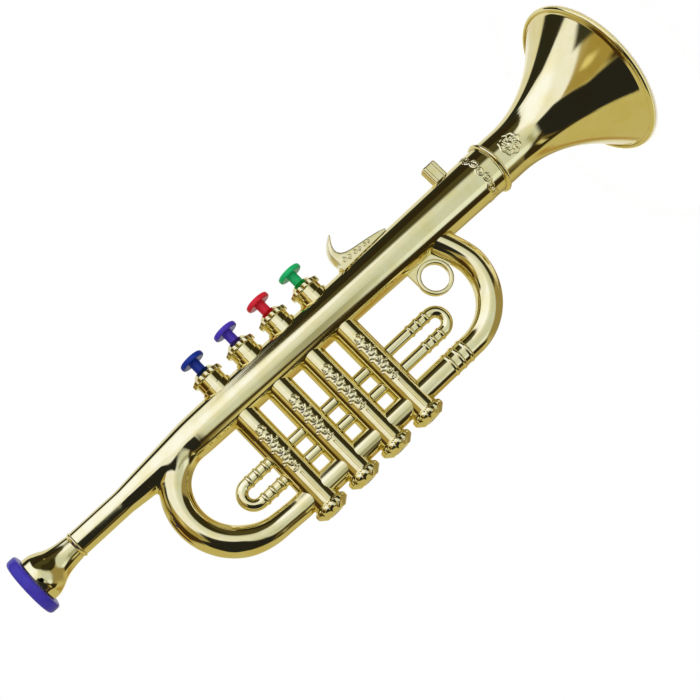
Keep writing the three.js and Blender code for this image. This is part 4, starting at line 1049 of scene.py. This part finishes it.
def panel_mask(tree, place, softness, corners):
    """Mask of a convex panel: each edge's line is its inward normal n and -n . corner, over the softness."""
    corner, mask = np.asarray(corners, float), 1.0
    for (right, up), start in zip(inward(corner, 0), corner):
        line = (right / softness, up / softness, -(right * start[0] + up * start[1]) / softness)
        edge = add_node(tree, "ShaderNodeGroup", {"node_tree": EDGE}, Place=place, Line=line, Mask=mask)
        mask = edge.outputs["Mask"]
    return mask


def studio():
    """World light as panels by bearing (0 behind the camera, + to its right) and height in degrees, painted
    one over another, and a white background for what the camera sees. Plain surfaces get an even light, 1 +
    0.5 a . b towards the softbox, so that their colours show about as they are written."""
    world = bpy.data.worlds.new("studio")
    bpy.context.scene.world = world
    world.use_nodes = True
    tree = world.node_tree
    tree.nodes.clear()
    way = add_node(tree, "ShaderNodeTexCoord").outputs["Generated"]
    right, up, back = (measure(tree, "DOT_PRODUCT", _0=way, _1=axis) for axis in (RIGHT, UP, BACK))
    bearing = calculate(tree, "MULTIPLY", calculate(tree, "ARCTAN2", right, back), 180 / math.pi)
    height = calculate(tree, "MULTIPLY", calculate(tree, "ARCSINE", up), 180 / math.pi)
    place = add_node(tree, "ShaderNodeCombineXYZ", X=bearing, Y=height, Z=1.0).outputs[0]
    colour = WALLS
    for softness, paint, corners in PANELS:
        colour = blend_colours(tree, panel_mask(tree, place, softness, corners), colour, (*paint, 1))
    either = add_node(tree, "ShaderNodeCombineXYZ", X=calculate(tree, "ABSOLUTE", bearing), Y=height, Z=1.0)
    window = panel_mask(tree, either.outputs[0], 8, BACKDROP)
    path = add_node(tree, "ShaderNodeLightPath").outputs
    mirrored = calculate(tree, "MAXIMUM", path["Is Glossy Ray"], path["Is Transmission Ray"])
    seen = calculate(tree, "MAXIMUM", path["Is Camera Ray"], calculate(tree, "MULTIPLY", mirrored, window))
    softbox = Vector(RIGHT) * -0.63 + Vector(UP) * 0.454 + Vector(BACK) * 0.63
    towards = measure(tree, "DOT_PRODUCT", _0=way, _1=tuple(softbox))
    level = calculate(tree, "ADD", calculate(tree, "MULTIPLY", towards, 0.5), 1.0)
    even = add_node(tree, "ShaderNodeVectorMath", {"operation": "SCALE"}, _0=PAINT_LIGHT, Scale=level)
    lit = blend_colours(tree, path["Is Diffuse Ray"], colour, even.outputs[0])
    shown = blend_colours(tree, seen, lit, WHITE)
    background = add_node(tree, "ShaderNodeBackground", Color=shown, Strength=1.0)
    add_node(tree, "ShaderNodeOutputWorld", Surface=background.outputs[0])


def floor():
    """A round pale floor under the bell that keeps the shadow and fades out from 50 to 90 mm off its
    middle."""
    ring = turns(128)
    radius = column([0.0005, 0.03, 0.05, 0.075, 0.1])
    points = points_of(radius * np.cos(ring), radius * np.sin(ring), -0.0002).reshape(-1, 3)
    quads = grid_quads(len(radius), 128, loop=False).reshape(-1, 4)
    mesh = bpy.data.meshes.new("pale floor")
    mesh.from_pydata(points.tolist(), [], quads.tolist() + [list(range(128))])
    finish = bpy.data.materials.new("pale floor")
    finish.use_nodes = True
    tree = finish.node_tree
    tree.nodes.clear()
    away = measure(tree, "LENGTH", _0=object_place(tree))
    fade = add_node(tree, "ShaderNodeMapRange", {"interpolation_type": "SMOOTHSTEP"}, Value=away,
                    From_Min=0.05, From_Max=0.09)
    matt = add_node(tree, "ShaderNodeBsdfDiffuse", Color=(0.93, 0.93, 0.93, 1))
    camera_ray = add_node(tree, "ShaderNodeLightPath").outputs["Is Camera Ray"]
    glow = calculate(tree, "MULTIPLY", camera_ray, 0.3)
    lift = add_node(tree, "ShaderNodeEmission", Color=WHITE, Strength=glow)
    lit = add_node(tree, "ShaderNodeAddShader", _0=matt.outputs[0], _1=lift.outputs[0])
    clear = add_node(tree, "ShaderNodeBsdfTransparent")
    shown = add_node(tree, "ShaderNodeMixShader", _0=fade.outputs[0], _1=lit.outputs[0], _2=clear.outputs[0])
    add_node(tree, "ShaderNodeOutputMaterial", Surface=shown.outputs[0])
    mesh.materials.append(finish)
    piece = bpy.data.objects.new("pale floor", mesh)
    bpy.context.scene.collection.objects.link(piece)


def photo_camera():
    """The camera stands where the photograph was taken from, with the same frame and lens."""
    data = bpy.data.cameras.new("camera")
    data.lens, data.sensor_width, data.clip_start, data.clip_end = LENS, SENSOR_WIDTH, 0.01, 20.0
    camera = bpy.data.objects.new("camera", data)
    bpy.context.scene.collection.objects.link(camera)
    turned = Matrix((RIGHT, UP, BACK)).transposed()
    camera.matrix_world = Matrix.Translation(CAMERA_PLACE) @ turned.to_4x4()
    bpy.context.scene.camera = camera


studio()
floor()
photo_camera()
bpy.context.scene.view_settings.view_transform = "Standard"
